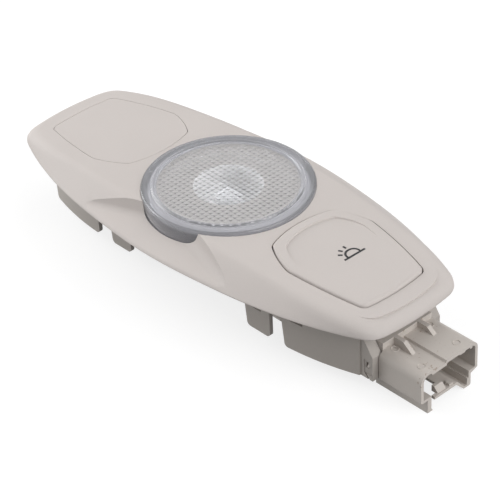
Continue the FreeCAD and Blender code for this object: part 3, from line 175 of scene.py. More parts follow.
def grid_faces(rows, columns, closed_rows=False, closed_columns=False):
    """Quads of a grid of points stored row by row. A closed direction joins its last line to its
    first."""
    r = np.arange(rows if closed_rows else rows - 1)
    c = np.arange(columns if closed_columns else columns - 1)
    r, c = np.meshgrid(r, c, indexing="ij")
    r, c = r.ravel(), c.ravel()
    next_r, next_c = (r + 1) % rows, (c + 1) % columns
    corners = (r * columns + c, r * columns + next_c, next_r * columns + next_c, next_r * columns + c)
    return np.stack(corners, 1).tolist()


def turned(profile, segments, shape=None):
    """Points and faces of a closed solid of revolution. A profile of (radius, height) pairs from pole
    to pole, or a loop, is turned round Z: x = r cos a, y = r sin a, z = h, plus shape(x, y, row)."""
    on_axis = 1e-9
    radius, height = np.array(profile, float).T
    starts_at_pole, ends_at_pole = radius[0] < on_axis, radius[-1] < on_axis
    body = slice(1 if starts_at_pole else 0, len(radius) - 1 if ends_at_pole else len(radius))
    angle = np.arange(segments) * TURN / segments
    r, a = np.meshgrid(radius[body], angle, indexing="ij")
    h = np.repeat(height[body][:, None], segments, 1)
    x, y = r * np.cos(a), r * np.sin(a)
    if shape is not None:
        h = h + shape(x, y, np.arange(len(radius))[body][:, None] * np.ones_like(x))
    points = np.stack([x, y, h], -1).reshape(-1, 3)
    rows = len(r)
    is_loop = not (starts_at_pole or ends_at_pole)
    faces = grid_faces(rows, segments, closed_rows=is_loop, closed_columns=True)
    ring = np.arange(segments)
    after = (ring + 1) % segments
    if starts_at_pole:
        pole = np.full(segments, len(points))
        faces += np.stack([pole, after, ring], 1).tolist()
        points = np.vstack([points, [0, 0, height[0]]])
    if ends_at_pole:
        pole = np.full(segments, len(points))
        last = (rows - 1) * segments
        faces += np.stack([pole, last + ring, last + after], 1).tolist()
        points = np.vstack([points, [0, 0, height[-1]]])
    return points, faces


def prism(outline, half_width, angle):
    """Points and faces of a flat anticlockwise outline in radius and height, drawn out to both sides
    and turned round Z: the outline's point (r, h) goes to r along the turned X axis and h up."""
    outline = np.array(outline, float)
    count = len(outline)
    x = np.tile(outline[:, 0], 2)
    y = np.repeat((half_width, -half_width), count)
    z = np.tile(outline[:, 1], 2)
    cosine, sine = math.cos(angle), math.sin(angle)
    points = np.stack([x * cosine - y * sine, x * sine + y * cosine, z], 1)
    faces = grid_faces(2, count, closed_columns=True)
    return points, faces + [list(range(count))[::-1], list(range(count, 2 * count))]


def joined(parts):
    """One array of points and one list of faces from several."""
    points, faces, start = [], [], 0
    for part_points, part_faces in parts:
        faces += [[corner + start for corner in face] for face in part_faces]
        points.append(part_points)
        start += len(part_points)
    return np.vstack(points), faces


def tube_points(path, radius, sides):
    """Round wire with closed ends: a circle is carried along a path of points, in the plane square to
    the path."""
    steep = 0.9
    ahead = np.gradient(path, axis=0)
    ahead /= np.linalg.norm(ahead, axis=1)[:, None]
    up = np.tile((0.0, 0.0, 1.0), (len(path), 1))
    up[np.abs(ahead[:, 2]) > steep] = (1.0, 0.0, 0.0)
    side = np.cross(up, ahead)
    side /= np.linalg.norm(side, axis=1)[:, None]
    up = np.cross(ahead, side)
    angle = np.arange(sides) * TURN / sides
    cosine, sine = np.cos(angle)[None, :, None], np.sin(angle)[None, :, None]
    points = path[:, None] + radius * (cosine * side[:, None] + sine * up[:, None])
    points = points.reshape(-1, 3)
    faces = grid_faces(len(path), sides, closed_columns=True)
    return points, faces + [list(range(sides))[::-1], list(range(len(points) - sides, len(points)))]


def arc_points(centre, radius, start, end, steps):
    """Radius and height pairs on a round of a profile: the centre plus the radius times cosine and
    sine, between two angles in degrees."""
    angle = np.radians(np.linspace(start, end, steps))
    return [(centre[0] + radius * math.cos(a), centre[1] + radius * math.sin(a)) for a in angle]


def arched(radii, middle, rise):
    """Heights of a shallow arch over a stretch of radii: the rise times 1 - t squared, where t is
    nought at the middle and one at the last radius."""
    return rise * (1 - ((radii - middle) / (radii[-1] - middle)) ** 2)


def lathe_piece(name, profile, material, segments):
    """Turned piece of the lamp's fixed body with its material slot."""
    points, faces = turned(profile, segments)
    piece = surface(name, points, faces, material)
    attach(piece, "lamp_body")
    return piece


def mark_outside(mesh, radius, slot):
    """Gives the faces whose middle lies outside a radius another of the mesh's materials."""
    centres = np.zeros(len(mesh.polygons) * 3)
    mesh.polygons.foreach_get("center", centres)
    slots = np.zeros(len(mesh.polygons), int)
    mesh.polygons.foreach_get("material_index", slots)
    slots[np.hypot(centres[::3], centres[1::3]) > radius] = slot
    mesh.polygons.foreach_set("material_index", slots)


def new_material(name):
    """Material with its Principled shader joined to the output and no other node."""
    material = bpy.data.materials.new(name)
    material.use_nodes = True
    nodes = material.node_tree.nodes
    nodes.clear()
    out = nodes.new("ShaderNodeOutputMaterial")
    shader = nodes.new("ShaderNodeBsdfPrincipled")
    material.node_tree.links.new(shader.outputs["BSDF"], out.inputs["Surface"])
    return material, nodes, material.node_tree.links, shader, out


def noise(nodes, links, scale, detail=2.0, roughness=0.5, stretch=None):
    """Noise over the object's own coordinates, in features per metre, stretched if asked."""
    place = nodes.new("ShaderNodeTexCoord")
    source = place.outputs["Object"]
    if stretch is not None:
        mapping = nodes.new("ShaderNodeMapping")
        mapping.inputs["Scale"].default_value = stretch
        links.new(source, mapping.inputs["Vector"])
        source = mapping.outputs["Vector"]
    pattern = nodes.new("ShaderNodeTexNoise")
    pattern.inputs["Scale"].default_value = scale
    pattern.inputs["Detail"].default_value = detail
    pattern.inputs["Roughness"].default_value = roughness
    links.new(source, pattern.inputs["Vector"])
    return pattern.outputs["Fac"]


def ramp(nodes, links, source, stops):
    """Colour ramp over a value, given as (place, colour) stops from low to high."""
    node = nodes.new("ShaderNodeValToRGB")
    elements = node.color_ramp.elements
    for element, (place, colour) in zip((elements[0], elements[1]), (stops[0], stops[-1])):
        element.position = place
        element.color = (*colour, 1)
    for place, colour in stops[1:-1]:
        elements.new(place).color = (*colour, 1)
    links.new(source, node.inputs["Fac"])
    return node.outputs["Color"]


def join_or_set(links, value, socket):
    """Links a socket to another, or sets it to a plain value."""
    if isinstance(value, bpy.types.NodeSocket):
        links.new(value, socket)
    else:
        socket.default_value = value


def calculate(nodes, links, operation, *values):
    """Math node over one or two sockets or plain values."""
    node = nodes.new("ShaderNodeMath")
    node.operation = operation
    for value, socket in zip(values, node.inputs):
        join_or_set(links, value, socket)
    return node.outputs["Value"]


def blend_colours(nodes, links, factor, first, second):
    """Mix of two colours by a factor socket. Each colour is a socket, or four plain values."""
    node = nodes.new("ShaderNodeMix")
    node.data_type = "RGBA"
    links.new(factor, node.inputs["Factor"])
    colour_inputs = [socket for socket in node.inputs if socket.type == "RGBA"]
    for value, socket in zip((first, second), colour_inputs):
        join_or_set(links, value, socket)
    return next(socket for socket in node.outputs if socket.type == "RGBA")


def blend_shaders(nodes, links, factor, first, second, out):
    """Joins two shaders to the output, the first where the factor is nought and the second where it
    is one."""
    mix = nodes.new("ShaderNodeMixShader")
    for source, socket in zip((factor, first, second), mix.inputs):
        links.new(source, socket)
    links.new(mix.outputs["Shader"], out.inputs["Surface"])


def uneven_gloss(nodes, links, shader, pattern, low, high):
    """Lets the roughness wander with a pattern between two values."""
    gloss = nodes.new("ShaderNodeMapRange")
    gloss.inputs["To Min"].default_value = low
    gloss.inputs["To Max"].default_value = high
    links.new(pattern, gloss.inputs["Value"])
    links.new(gloss.outputs["Result"], shader.inputs["Roughness"])


def raised_grain(nodes, links, shader, pattern, strength, height):
    """Tilts the normals by a pattern, as fine relief of a height would."""
    bump = nodes.new("ShaderNodeBump")
    bump.inputs["Strength"].default_value = strength
    bump.inputs["Distance"].default_value = height
    links.new(pattern, bump.inputs["Height"])
    links.new(bump.outputs["Normal"], shader.inputs["Normal"])


def shade(colour, factor):
    """A colour made lighter or darker by a factor."""
    return tuple(min(1.0, part * factor) for part in colour)


def grained_plastic(name, colour, grain_size, grain_height, roughness, specks=0.0):
    """Moulded plastic: eroded grain as relief, a faint mottle, uneven gloss and, where asked, specks
    of dirt."""
    mottle_share, gloss_spread, grain_strength, shine = 0.7, 0.06, 0.35, 0.35
    material, nodes, links, shader, _ = new_material(name)
    fine = noise(nodes, links, scale=1 / grain_size, detail=3.0, roughness=0.6)
    broad = noise(nodes, links, scale=45.0)
    cloud = ramp(nodes, links, broad, [(0.35, shade(colour, 0.985)), (0.65, shade(colour, 1.012))])
    mottle = ramp(nodes, links, fine, [(0.30, shade(colour, 0.95)), (0.70, shade(colour, 1.04))])
    share = calculate(nodes, links, "MULTIPLY", fine, mottle_share)
    tone = blend_colours(nodes, links, share, cloud, mottle)
    if specks:
        tone = specked(nodes, links, tone, specks)
    links.new(tone, shader.inputs["Base Color"])
    uneven_gloss(nodes, links, shader, fine, roughness - gloss_spread, roughness + gloss_spread)
    shader.inputs["IOR"].default_value = PLASTIC_IOR
    shader.inputs["Specular IOR Level"].default_value = shine
    raised_grain(nodes, links, shader, fine, grain_strength, grain_height)
    return material


def specked(nodes, links, tone, strength):
    """Tone with brown specks of dirt, which gather where fine and broad noise are both high."""
    dirt, clean, speck_edge, speck_heart = (0.25, 0.15, 0.08, 1.0), (0, 0, 0), 0.455, 0.500
    spots = noise(nodes, links, scale=900.0, detail=1.0)
    cluster = noise(nodes, links, scale=60.0, roughness=0.6)
    both = calculate(nodes, links, "MULTIPLY", spots, cluster)
    stops = [(0.0, clean), (speck_edge, clean), (speck_heart, (strength, strength, strength))]
    mask = ramp(nodes, links, both, stops)
    return blend_colours(nodes, links, mask, tone, dirt)


def paint_groove_shade(material, tint, pitch, top):
    """Paints shade into a clear tint in the grooves between pillows, where light scatters. They lie
    where the cosine of x or y over the pitch is near nought, and only below a height."""
    # Painted shade in the grooves, as a share of the tint, and the width of the shaded band.
    groove_shade, groove_width = 0.52, 0.28
    nodes, links = material.node_tree.nodes, material.node_tree.links
    place = nodes.new("ShaderNodeSeparateXYZ")
    links.new(nodes.new("ShaderNodeTexCoord").outputs["Object"], place.inputs["Vector"])
    waves = []
    for axis in "XY":
        turn = calculate(nodes, links, "MULTIPLY", place.outputs[axis], math.pi / pitch)
        waves.append(calculate(nodes, links, "ABSOLUTE", calculate(nodes, links, "COSINE", turn)))
    nearest = calculate(nodes, links, "MINIMUM", *waves)
    above = calculate(nodes, links, "GREATER_THAN", place.outputs["Z"], top)
    depth = calculate(nodes, links, "ADD", nearest, above)
    tone = ramp(nodes, links, depth, [(0.0, shade(tint, groove_shade)), (groove_width, tint)])
    shader = next(node for node in nodes if node.type == "BSDF_PRINCIPLED")
    links.new(tone, shader.inputs["Base Color"])


def clear_plastic(name, tint, roughness, clearness):
    """Clear moulding: bends light for the eye, and lets the light of lamps through unbent."""
    gloss_spread, passed_light = 0.03, 0.96
    material, nodes, links, shader, out = new_material(name)
    shader.inputs["Base Color"].default_value = (*tint, 1)
    shader.inputs["Transmission Weight"].default_value = clearness
    shader.inputs["IOR"].default_value = PLASTIC_IOR
    haze = noise(nodes, links, scale=500.0)
    uneven_gloss(nodes, links, shader, haze, roughness, roughness + gloss_spread)
    passing = nodes.new("ShaderNodeBsdfTransparent")
    passing.inputs["Color"].default_value = (passed_light, passed_light, passed_light, 1)
    shadow = nodes.new("ShaderNodeLightPath").outputs["Is Shadow Ray"]
    blend_shaders(nodes, links, shadow, shader.outputs["BSDF"], passing.outputs["BSDF"], out)
    return material


def metal(name, colour, roughness, grain=900.0, stretch=None, shine=1.0):
    """Metal with a fine rolled or polished grain in its tone, gloss and height."""
    smooth, coarse, grain_strength, grain_height = 0.7, 1.4, 0.15, 0.02 * MM
    material, nodes, links, shader, _ = new_material(name)
    marks = noise(nodes, links, grain, detail=3.0, roughness=0.6, stretch=stretch)
    tone = ramp(nodes, links, marks, [(0.3, shade(colour, 0.88)), (0.7, shade(colour, 1.06))])
    links.new(tone, shader.inputs["Base Color"])
    shader.inputs["Metallic"].default_value = shine
    uneven_gloss(nodes, links, shader, marks, roughness * smooth, roughness * coarse)
    raised_grain(nodes, links, shader, marks, grain_strength, grain_height)
    return material


def printed_ink(colour):
    """Matt ink with fine paler specks."""
    material, nodes, links, shader, _ = new_material("print_ink")
    speck = noise(nodes, links, scale=3000.0)
    tone = ramp(nodes, links, speck, [(0.3, colour), (0.75, shade(colour, 2.2))])
    links.new(tone, shader.inputs["Base Color"])
    shader.inputs["Roughness"].default_value = 0.55
    return material


def dress(nodes, material):
    """Gives CAD nodes one finish."""
    for name in nodes:
        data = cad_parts[name].data
        data.materials.clear()
        data.materials.append(material)


def softened(node, material, smooth_angle, body):
    """Copy of a CAD node with its faces joined, so that rounds cut in steps shade as one sweep."""
    merge_distance = 0.002 * MM
    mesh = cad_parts[node].data.copy()
    shell = bmesh.new()
    shell.from_mesh(mesh)
    bmesh.ops.remove_doubles(shell, verts=shell.verts, dist=merge_distance)
    shell.to_mesh(mesh)
    shell.free()
    if mesh.attributes.get("custom_normal"):
        mesh.attributes.remove(mesh.attributes["custom_normal"])
    mesh.polygons.foreach_set("use_smooth", np.ones(len(mesh.polygons), bool))
    mesh.set_sharp_from_angle(angle=math.radians(smooth_angle))
    mesh.update()
    mesh.materials.clear()
    mesh.materials.append(material)
    piece = bpy.data.objects.new(node + "_soft", mesh)
    bpy.context.scene.collection.objects.link(piece)
    even = piece.modifiers.new("even_normals", "WEIGHTED_NORMAL")
    even.keep_sharp = True
    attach(piece, body)
    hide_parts(node)


class LAMP_OT_mouldings(bpy.types.Operator):
    """Finish the cover, the blank cover and the button in grained plastic"""

    bl_idname = "dome_light.mouldings"
    bl_label = "Grained mouldings"

    def execute(self, context):
        cover_edge, button_edge = 32.0, 50.0
        colour = settings("lamp_colours").cover
        grained = grained_plastic("cover_grain", colour, 0.45 * MM, 0.06 * MM, roughness=0.62)
        softened("bezel", grained, cover_edge, "lamp_body")
        softened("blank_cover", grained, cover_edge, "lamp_body")
        softened("button_cap", grained, button_edge, "button")
        return {"FINISHED"}


class LAMP_OT_housing(bpy.types.Operator):
    """Finish the rear housing and the connector header in smooth plastic"""

    bl_idname = "dome_light.housing"
    bl_label = "Rear housing"

    def execute(self, context):
        connector_tone_and_painted_light, speck_strength = 1.38, 0.5
        colour = settings("lamp_colours").housing
        plain = grained_plastic(
            "housing_smooth", colour, 1.2 * MM, PLAIN_GRAIN_HEIGHT, roughness=0.5)
        dress(("rear_housing", "bulb_holder"), plain)
        # Lighter copy of the housing's plastic for the connector. A little of it is the connector's own
        # paler tone. The rest is painted light, which undoes the housing's painted shade where the
        # connector stands in the light. The specks of dirt are real.
        paler_tone_and_painted_light = shade(colour, connector_tone_and_painted_light)
        dirt_and_painted_light = grained_plastic(
            "connector_smooth", paler_tone_and_painted_light, 1.0 * MM, PLAIN_GRAIN_HEIGHT, roughness=0.45,
            specks=speck_strength)
        dress(("connector_header",), dirt_and_painted_light)
        make_flash(dirt_and_painted_light)
        return {"FINISHED"}


def make_flash(material):
    """Thin rings of flash that stand round the four ejector marks on the connector's roof: a section
    of five points turned round each mark's middle."""
    mouth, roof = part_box("connector_header")[1].x, -11.0 * MM
    radius, width, height = 1.25 * MM, 0.24 * MM, 0.16 * MM
    outer, shoulder = radius + width, roof + height / 2
    section = [(radius, roof - height), (outer, roof - height), (outer, shoulder)]
    section += [(radius + width / 2, roof + height), (radius, shoulder)]
    # Each mark's way back from the connector's mouth and its way to the side, in millimetres.
    marks = ((16.4, -8.9), (17.0, 8.6), (3.8, -9.6), (4.0, 7.6))
    ring_points, ring_faces = turned(section, segments=48)
    middles = [np.array((mouth - back * MM, side * MM, 0.0)) for back, side in marks]
    points, faces = joined([(ring_points + middle, ring_faces) for middle in middles])
    flash = surface("ejector_flash", points, faces, material)
    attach(flash, "lamp_body")


class LAMP_OT_switch(bpy.types.Operator):
    """Finish the push switch, its spring and the stamped tracks"""

    bl_idname = "dome_light.switch"
    bl_label = "Switch and tracks"

    def execute(self, context):
        black, ivory, steel = (0.03, 0.03, 0.032), (0.65, 0.64, 0.60), (0.50, 0.50, 0.51)
        along_strip = (1.0, 1.0, 6.0)
        grain = (0.8 * MM, PLAIN_GRAIN_HEIGHT)
        dark = grained_plastic("switch_dark", black, *grain, roughness=0.5)
        pale = grained_plastic("slider_pale", ivory, *grain, roughness=0.45)
        dress(("switch_case", "switch_base"), dark)
        dress(("switch_slider",), pale)
        colour = settings("lamp_colours").brass
        strips = ("track_supply", "track_signal", "track_ground", "switch_terminal_signal",
                  "switch_terminal_ground", "switch_bridge", "bulb_contact_supply",
                  "bulb_contact_return")
        brass = metal("tinned_brass", colour, roughness=0.32, grain=700.0, stretch=along_strip)
        dress(strips, brass)
        dress(("switch_spring",), metal("spring_steel", steel, roughness=0.25))
        return {"FINISHED"}


class LAMP_OT_lens(bpy.types.Operator):
    """Make the clear lens: rounded rim, bead, disc with its optic of square pillows, and clips"""

    bl_idname = "dome_light.lens"
    bl_label = "Clear lens"

    def execute(self, context):
        sizes, colours = settings("lamp_lens"), settings("lamp_colours")
        low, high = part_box("lens")
        radius, top = high.x, high.z
        optic_inset, rim_inset, side_inset = 5.3 * MM, 5.2 * MM, 0.7 * MM
        optic_drop, wall_painted_shade, edge_angle = 2.0 * MM, 0.55, 50.0
        rim_slot, shaded_wall_slot = 1, 2
        clear = clear_plastic("lens_clear", colours.lens, roughness=0.02, clearness=1.0)
        paint_groove_shade(clear, colours.lens, sizes.pitch, top - optic_drop)
        rim = clear_plastic("lens_edge", colours.lens_edge, roughness=0.04, clearness=0.66)
        # Painted shade: the outer wall gets a darker copy of the rim's plastic, for the wall that looks
        # dark edge on.
        painted_shade_tint = shade(colours.lens_edge, wall_painted_shade)
        side = clear_plastic("lens_wall", painted_shade_tint, roughness=0.04, clearness=0.6)
        profile, optic_rows = lens_profile(radius, top)
        pillows = pillow_field(sizes, radius - optic_inset, optic_rows)
        solids = [turned(profile, sizes.segments, pillows)] + lens_clips(radius, low.z)
        points, faces = joined(solids)
        lens = surface("lens_clear", points, faces, clear, edge_angle)
        lens.data.materials.append(rim)
        lens.data.materials.append(side)
        mark_outside(lens.data, radius - rim_inset, rim_slot)
        # The outer wall's faces take the darker copy, as painted shade.
        mark_outside(lens.data, radius - side_inset, shaded_wall_slot)
        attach(lens, "lamp_body")
        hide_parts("lens")
        return {"FINISHED"}


def pillow_field(sizes, optic_radius, optic_rows):
    """Function that lowers the rows of the underside by a pillow in each square. Its depth is the
    relief times the root of the product of two arches, |cos(pi x / pitch)| and |cos(pi y / pitch)|,
    and it fades out towards the optic's edge."""
    fade_width, softness = 0.6 * MM, 0.02

    def lowered(x, y, row):
        """Change of height at a plan point of a row."""
        across = np.abs(np.cos(math.pi * x / sizes.pitch))
        along = np.abs(np.cos(math.pi * y / sizes.pitch))
        fade = np.clip((optic_radius - np.hypot(x, y)) / fade_width, 0, 1)
        depth = sizes.relief * np.sqrt(across * along + softness) * fade
        return np.where(np.isin(row, optic_rows), -depth, 0.0)

    return lowered


def lens_clips(radius, bottom):
    """Four clips under the lens: a flat outline of leg and barb, drawn out and turned into place."""
    clip_angle, half_width = 25.0, 2.5 * MM
    face = radius - 1.8 * MM
    back = face - 1.4 * MM
    barb = face + 0.9 * MM
    barb_top, barb_edge, root = -0.1 * MM, 0.4 * MM, 3.4 * MM
    outline = [(back, bottom), (face, bottom), (barb, barb_top - barb_edge), (barb, barb_top),
               (face, barb_top), (face, root), (back, root)]
    angles = (clip_angle, 180 - clip_angle, 180 + clip_angle, 360 - clip_angle)
    return [prism(outline, half_width, math.radians(angle)) for angle in angles]


def lens_profile(radius, top):
    """Profile of the lens from the middle of its underside, over wall, rim and bead, to the middle of
    its top, with the numbers of the underside's rows, where the optic goes. Disc and rim are shallow
    arches, and bead, rim edge and wall are joined by arcs."""
    wall, edge_round, foot_bevel, under_round = 2.1 * MM, 0.9 * MM, 0.2 * MM, 1.2 * MM
    bead, bead_radius, bead_foot = 0.8 * MM, 26.5 * MM, 1.05 * MM
    rim_top, rim_rise, rim_end = top - 0.7 * MM, 0.22 * MM, 0.15 * MM
    disc_edge, disc_rise = top - 0.5 * MM, 0.25 * MM
    underside, optic_start, optic_spacing = rim_top - 2.0 * MM, 1.8 * MM, 0.28 * MM
    inner, disc_rows, crown_rows = radius - wall, 24, 9

    disc = np.linspace(0, bead_radius - bead, disc_rows)
    points = list(zip(disc, disc_edge + arched(disc, 0.0, disc_rise)))
    points += arc_points((bead_radius, top - bead), bead, start=128, end=20, steps=9)
    crown = np.linspace(bead_radius + bead_foot, radius - edge_round - rim_end, crown_rows)
    points += list(zip(crown, rim_top + arched(crown, crown.mean(), rim_rise)))
    edge = (radius - edge_round, rim_top - edge_round)
    points += arc_points(edge, edge_round, start=90, end=0, steps=8)
    points += [(radius, WELL_FLOOR + foot_bevel), (radius - foot_bevel, WELL_FLOOR)]
    points += [(inner + foot_bevel, WELL_FLOOR), (inner, WELL_FLOOR + foot_bevel)]
    points.append((inner, underside - under_round))
    corner = (inner - under_round, underside - under_round)
    points += arc_points(corner, under_round, start=15, end=90, steps=5)
    first = len(points)
    points += [(r, underside) for r in np.arange(inner - optic_start, 0, -optic_spacing)]
    rows = np.arange(first, len(points))
    points.append((0.0, underside))
    return points[::-1], len(points) - 1 - rows


class LAMP_OT_light(bpy.types.Operator):
    """Make the plate under the optic, the silvered bowl below it, the bulb and its filament"""

    bl_idname = "dome_light.light"
    bl_label = "Bowl and bulb"

    def execute(self, context):
        colours = settings("lamp_colours")
        silver = metal("bowl_silver", colours.silver, roughness=0.3, grain=300.0, shine=0.3)
        plain = grained_plastic(
            "plate_smooth", colours.plate, 1.0 * MM, PLAIN_GRAIN_HEIGHT, roughness=0.45)
        make_plate(silver, plain, settings("lamp_lens").plate_level)
        make_bowl(silver)
        make_bulb()
        make_filament()
        return {"FINISHED"}


def make_plate(silver, plain, level):
    """Thin plate under the optic that stands on the well's floor, with a silvered throat down to the
    bowl: a closed profile of straight lines and one arc, turned round Z."""
    throat, opening, foot = 12.5 * MM, 12.8 * MM, 28.4 * MM
    wall, edge_round, throat_end, lip = 1.0 * MM, 0.8 * MM, 0.1 * MM, 0.1 * MM
    coat_edge, plain_slot = throat + 0.05 * MM, 1
    profile = [(throat, throat_end), (throat, level), (opening + lip, level)]
    edge = (foot - edge_round, level - edge_round)
    profile += arc_points(edge, edge_round, start=90, end=0, steps=5)
    profile += [(foot, WELL_FLOOR), (foot - wall, WELL_FLOOR), (foot - wall, level - wall)]
    profile += [(opening, level - wall), (opening, throat_end)]
    plate = lathe_piece("lens_plate", profile[::-1], silver, segments=192)
    plate.data.materials.append(plain)
    mark_outside(plate.data, coat_edge, plain_slot)


def make_bowl(silver):
    """Bowl round the bulb with a flange on top: its radius grows with the root of the height over its
    bottom."""
    low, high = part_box("reflector")
    bottom_radius, top_radius, wall, flange = 5.6 * MM, 12.7 * MM, 0.9 * MM, 1.0 * MM
    rows = 28
    share = np.linspace(0, 1, rows)
    radii = bottom_radius + (top_radius - bottom_radius) * np.sqrt(share)
    heights = low.z + (high.z - low.z) * share
    inside = list(zip(radii, heights))
    outside = [(r + wall, h) for r, h in inside if h < high.z - flange]
    rim = [(outside[-1][0], high.z - flange), (high.x, high.z - flange), (high.x, high.z)]
    profile = inside[::-1] + outside + rim
    bowl = lathe_piece("bowl_smooth", profile, silver, segments=160)
    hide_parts("reflector")


def make_bulb():
    """Glass of the wedge-base bulb: a tube with half a ball on top and an arc round its neck, hollow
    inside by a second profile, on a flat pinched base."""
    glass = clear_plastic("bulb_clear", (0.98, 0.98, 0.98), roughness=0.12, clearness=0.7)
    segments, cap_angle, cap_steps = 64, 84, 15
    low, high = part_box("bulb_glass")
    radius, wall, neck = high.y, 0.6 * MM, -6.0 * MM
    neck_round, corner, overlap = 1.5 * MM, 0.6 * MM, 0.4 * MM
    half_wide, half_thick = 4.7 * MM, 1.25 * MM
    ball, shoulder, hollow = (0.0, high.z - radius), neck + neck_round, radius - wall
    outside = [(0.0, high.z)]
    outside += arc_points(ball, radius, start=cap_angle, end=0, steps=cap_steps)
    outside.append((radius, shoulder))
    outside += arc_points((radius - neck_round, shoulder), neck_round, start=-15, end=-90, steps=6)
    outside.append((0.0, neck))
    inside = [(0.0, shoulder), (hollow - corner, shoulder), (hollow, shoulder + corner)]
    inside += arc_points(ball, hollow, start=0, end=cap_angle, steps=cap_steps)
    inside.append((0.0, high.z - wall))
    base = [(-half_wide, low.z), (half_wide, low.z), (half_wide, neck + overlap),
            (-half_wide, neck + overlap)]
    shells = [turned(profile[::-1], segments) for profile in (outside, inside)]
    points, faces = joined(shells + [prism(base, half_thick, 0.0)])
    bulb = surface("bulb_shell", points, faces, glass)
    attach(bulb, "lamp_body")
    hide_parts("bulb_glass")


def make_filament():
    """Coil between two upright leads: x runs evenly from lead to lead, while y and height follow the
    sine and the cosine of the turn."""
    wire = metal("filament_wire", (0.30, 0.30, 0.32), roughness=0.4)
    low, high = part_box("bulb_filament")
    coil_radius, coil_wire, turns, coil_points = 0.37 * MM, 0.07 * MM, 12, 181
    lead_side, lead_wire, lead_points = 1.6 * MM, 0.25 * MM, 9
    level = high.z - 0.45 * MM
    share = np.linspace(0, 1, coil_points)
    along, turn = (2 * share - 1) * lead_side, share * turns * TURN
    coil = np.stack([along, coil_radius * np.sin(turn), level + coil_radius * np.cos(turn)], 1)
    wires = [tube_points(coil, coil_wire, sides=8)]
    for side in (-lead_side, lead_side):
        heights = np.linspace(low.z, level, lead_points)
        lead = np.stack([np.full(lead_points, side), np.zeros(lead_points), heights], 1)
        wires.append(tube_points(lead, lead_wire, sides=12))
    points, faces = joined(wires)
    filament = surface("filament_coil", points, faces, wire)
    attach(filament, "lamp_body")
    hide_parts("bulb_filament")


class LAMP_OT_symbol(bpy.types.Operator):
    """Print the lamp symbol on the button: a half dome on a line with three rays"""

    bl_idname = "dome_light.symbol"
    bl_label = "Lamp symbol"

    def execute(self, context):
        drop_height = 5 * MM
        sizes = settings("lamp_symbol")
        bands = [ribbon(line, sizes.stroke) for line in symbol_lines()]
        flat, faces = joined([(band.reshape(-1, 2), grid_faces(*band.shape[:2])) for band in bands])
        above = np.full((len(flat), 1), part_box("button_cap")[1].z + drop_height)
        ink = printed_ink(settings("lamp_colours").print_ink)
        symbol = surface("button_symbol", np.hstack([flat, above]), faces, ink)
        lay_on(symbol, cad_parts["button_cap"], sizes.lift)
        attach(symbol, "button")
        return {"FINISHED"}


def symbol_lines():
    """Plan lines of the lamp symbol: a ground line, a dome and three rays. At each turn the dome lies
    its height times a power of the sine from its foot towards the lens, and half its width times the
    cosine to the side. Places and sizes are in millimetres until the end."""
    ground_ends = ((59.6, -2.7), (59.8, 6.9))
    ray_ends = (((56.1, -2.4), (57.2, -1.2)), ((54.4, -0.5), (55.8, 0.3)), ((53.9, 2.3), (55.4, 2.3)))
    foot, half_width, height, fullness = (59.45, 2.05), 5.7 / 2, 2.9, 0.8
    ground_points, ray_points, dome_points = 24, 8, 33
    turn = np.linspace(0, math.pi, dome_points)
    reach = foot[0] - height * np.sin(turn) ** fullness
    dome = np.stack([reach, foot[1] + half_width * np.cos(turn)], 1)
    ground = np.linspace(*ground_ends, ground_points)
    rays = [np.linspace(*ends, ray_points) for ends in ray_ends]
    return [line * MM for line in (ground, dome, *rays)]


def ribbon(line, width):
    """Flat band of three points across, square to a plan line."""
    ahead = np.gradient(line, axis=0)
    ahead /= np.linalg.norm(ahead, axis=1)[:, None]
    across = np.stack([-ahead[:, 1], ahead[:, 0]], 1)
    steps = np.array((-0.5, 0.0, 0.5)) * width
    return line[:, None] + across[:, None] * steps[None, :, None]


def lay_on(piece, target, lift):
    """Drops a flat piece on to what lies under it, keeps the result and gives it the thickness of
    ink."""
    wrap = piece.modifiers.new("drop", "SHRINKWRAP")
    wrap.target = target
    wrap.wrap_method = "PROJECT"
    wrap.use_project_z = True
    wrap.use_negative_direction = True
    wrap.use_positive_direction = False
    bpy.context.view_layer.update()
    graph = bpy.context.evaluated_depsgraph_get()
    dropped = bpy.data.meshes.new_from_object(piece.evaluated_get(graph))
    places = np.zeros(len(dropped.vertices) * 3)
    dropped.vertices.foreach_get("co", places)
    places[2::3] += lift
    dropped.vertices.foreach_set("co", places)
    dropped.update()
    piece.modifiers.clear()
    piece.data = dropped
    thick = piece.modifiers.new("ink", "SOLIDIFY")
    thick.thickness = lift
    thick.offset = -1.0


class LAMP_OT_stage(bpy.types.Operator):
    """Make the pale floor, the soft lamps and the camera of the studio"""

    bl_idname = "dome_light.stage"
    bl_label = "Studio"

    def execute(self, context):
        stage, lamp_size = settings("lamp_stage"), 0.8
        places = {"back": (0.0, 0.6, 0.8), "left": (-0.9, -0.3, 0.38),
                  "front": (-0.6, -0.65, 0.4), "right": (0.9, 0.1, 0.5)}
        make_floor(stage)
        make_world(stage)
        for name, place in places.items():
            area_lamp(name + "_lamp", place, lamp_size, getattr(stage, name))
        make_camera()
        bpy.context.scene.view_settings.view_transform = "Standard"
        return {"FINISHED"}


def eye_ray(nodes, links):
    """One for rays of the eye, also by way of metal or glass, and nought for rays of light, which have
    left a matt surface."""
    path = nodes.new("ShaderNodeLightPath")
    seen = path.outputs["Is Camera Ray"]
    for way in ("Is Glossy Ray", "Is Transmission Ray"):
        seen = calculate(nodes, links, "MAXIMUM", seen, path.outputs[way])
    direct = calculate(nodes, links, "LESS_THAN", path.outputs["Diffuse Depth"], 0.5)
    return calculate(nodes, links, "MULTIPLY", seen, direct)


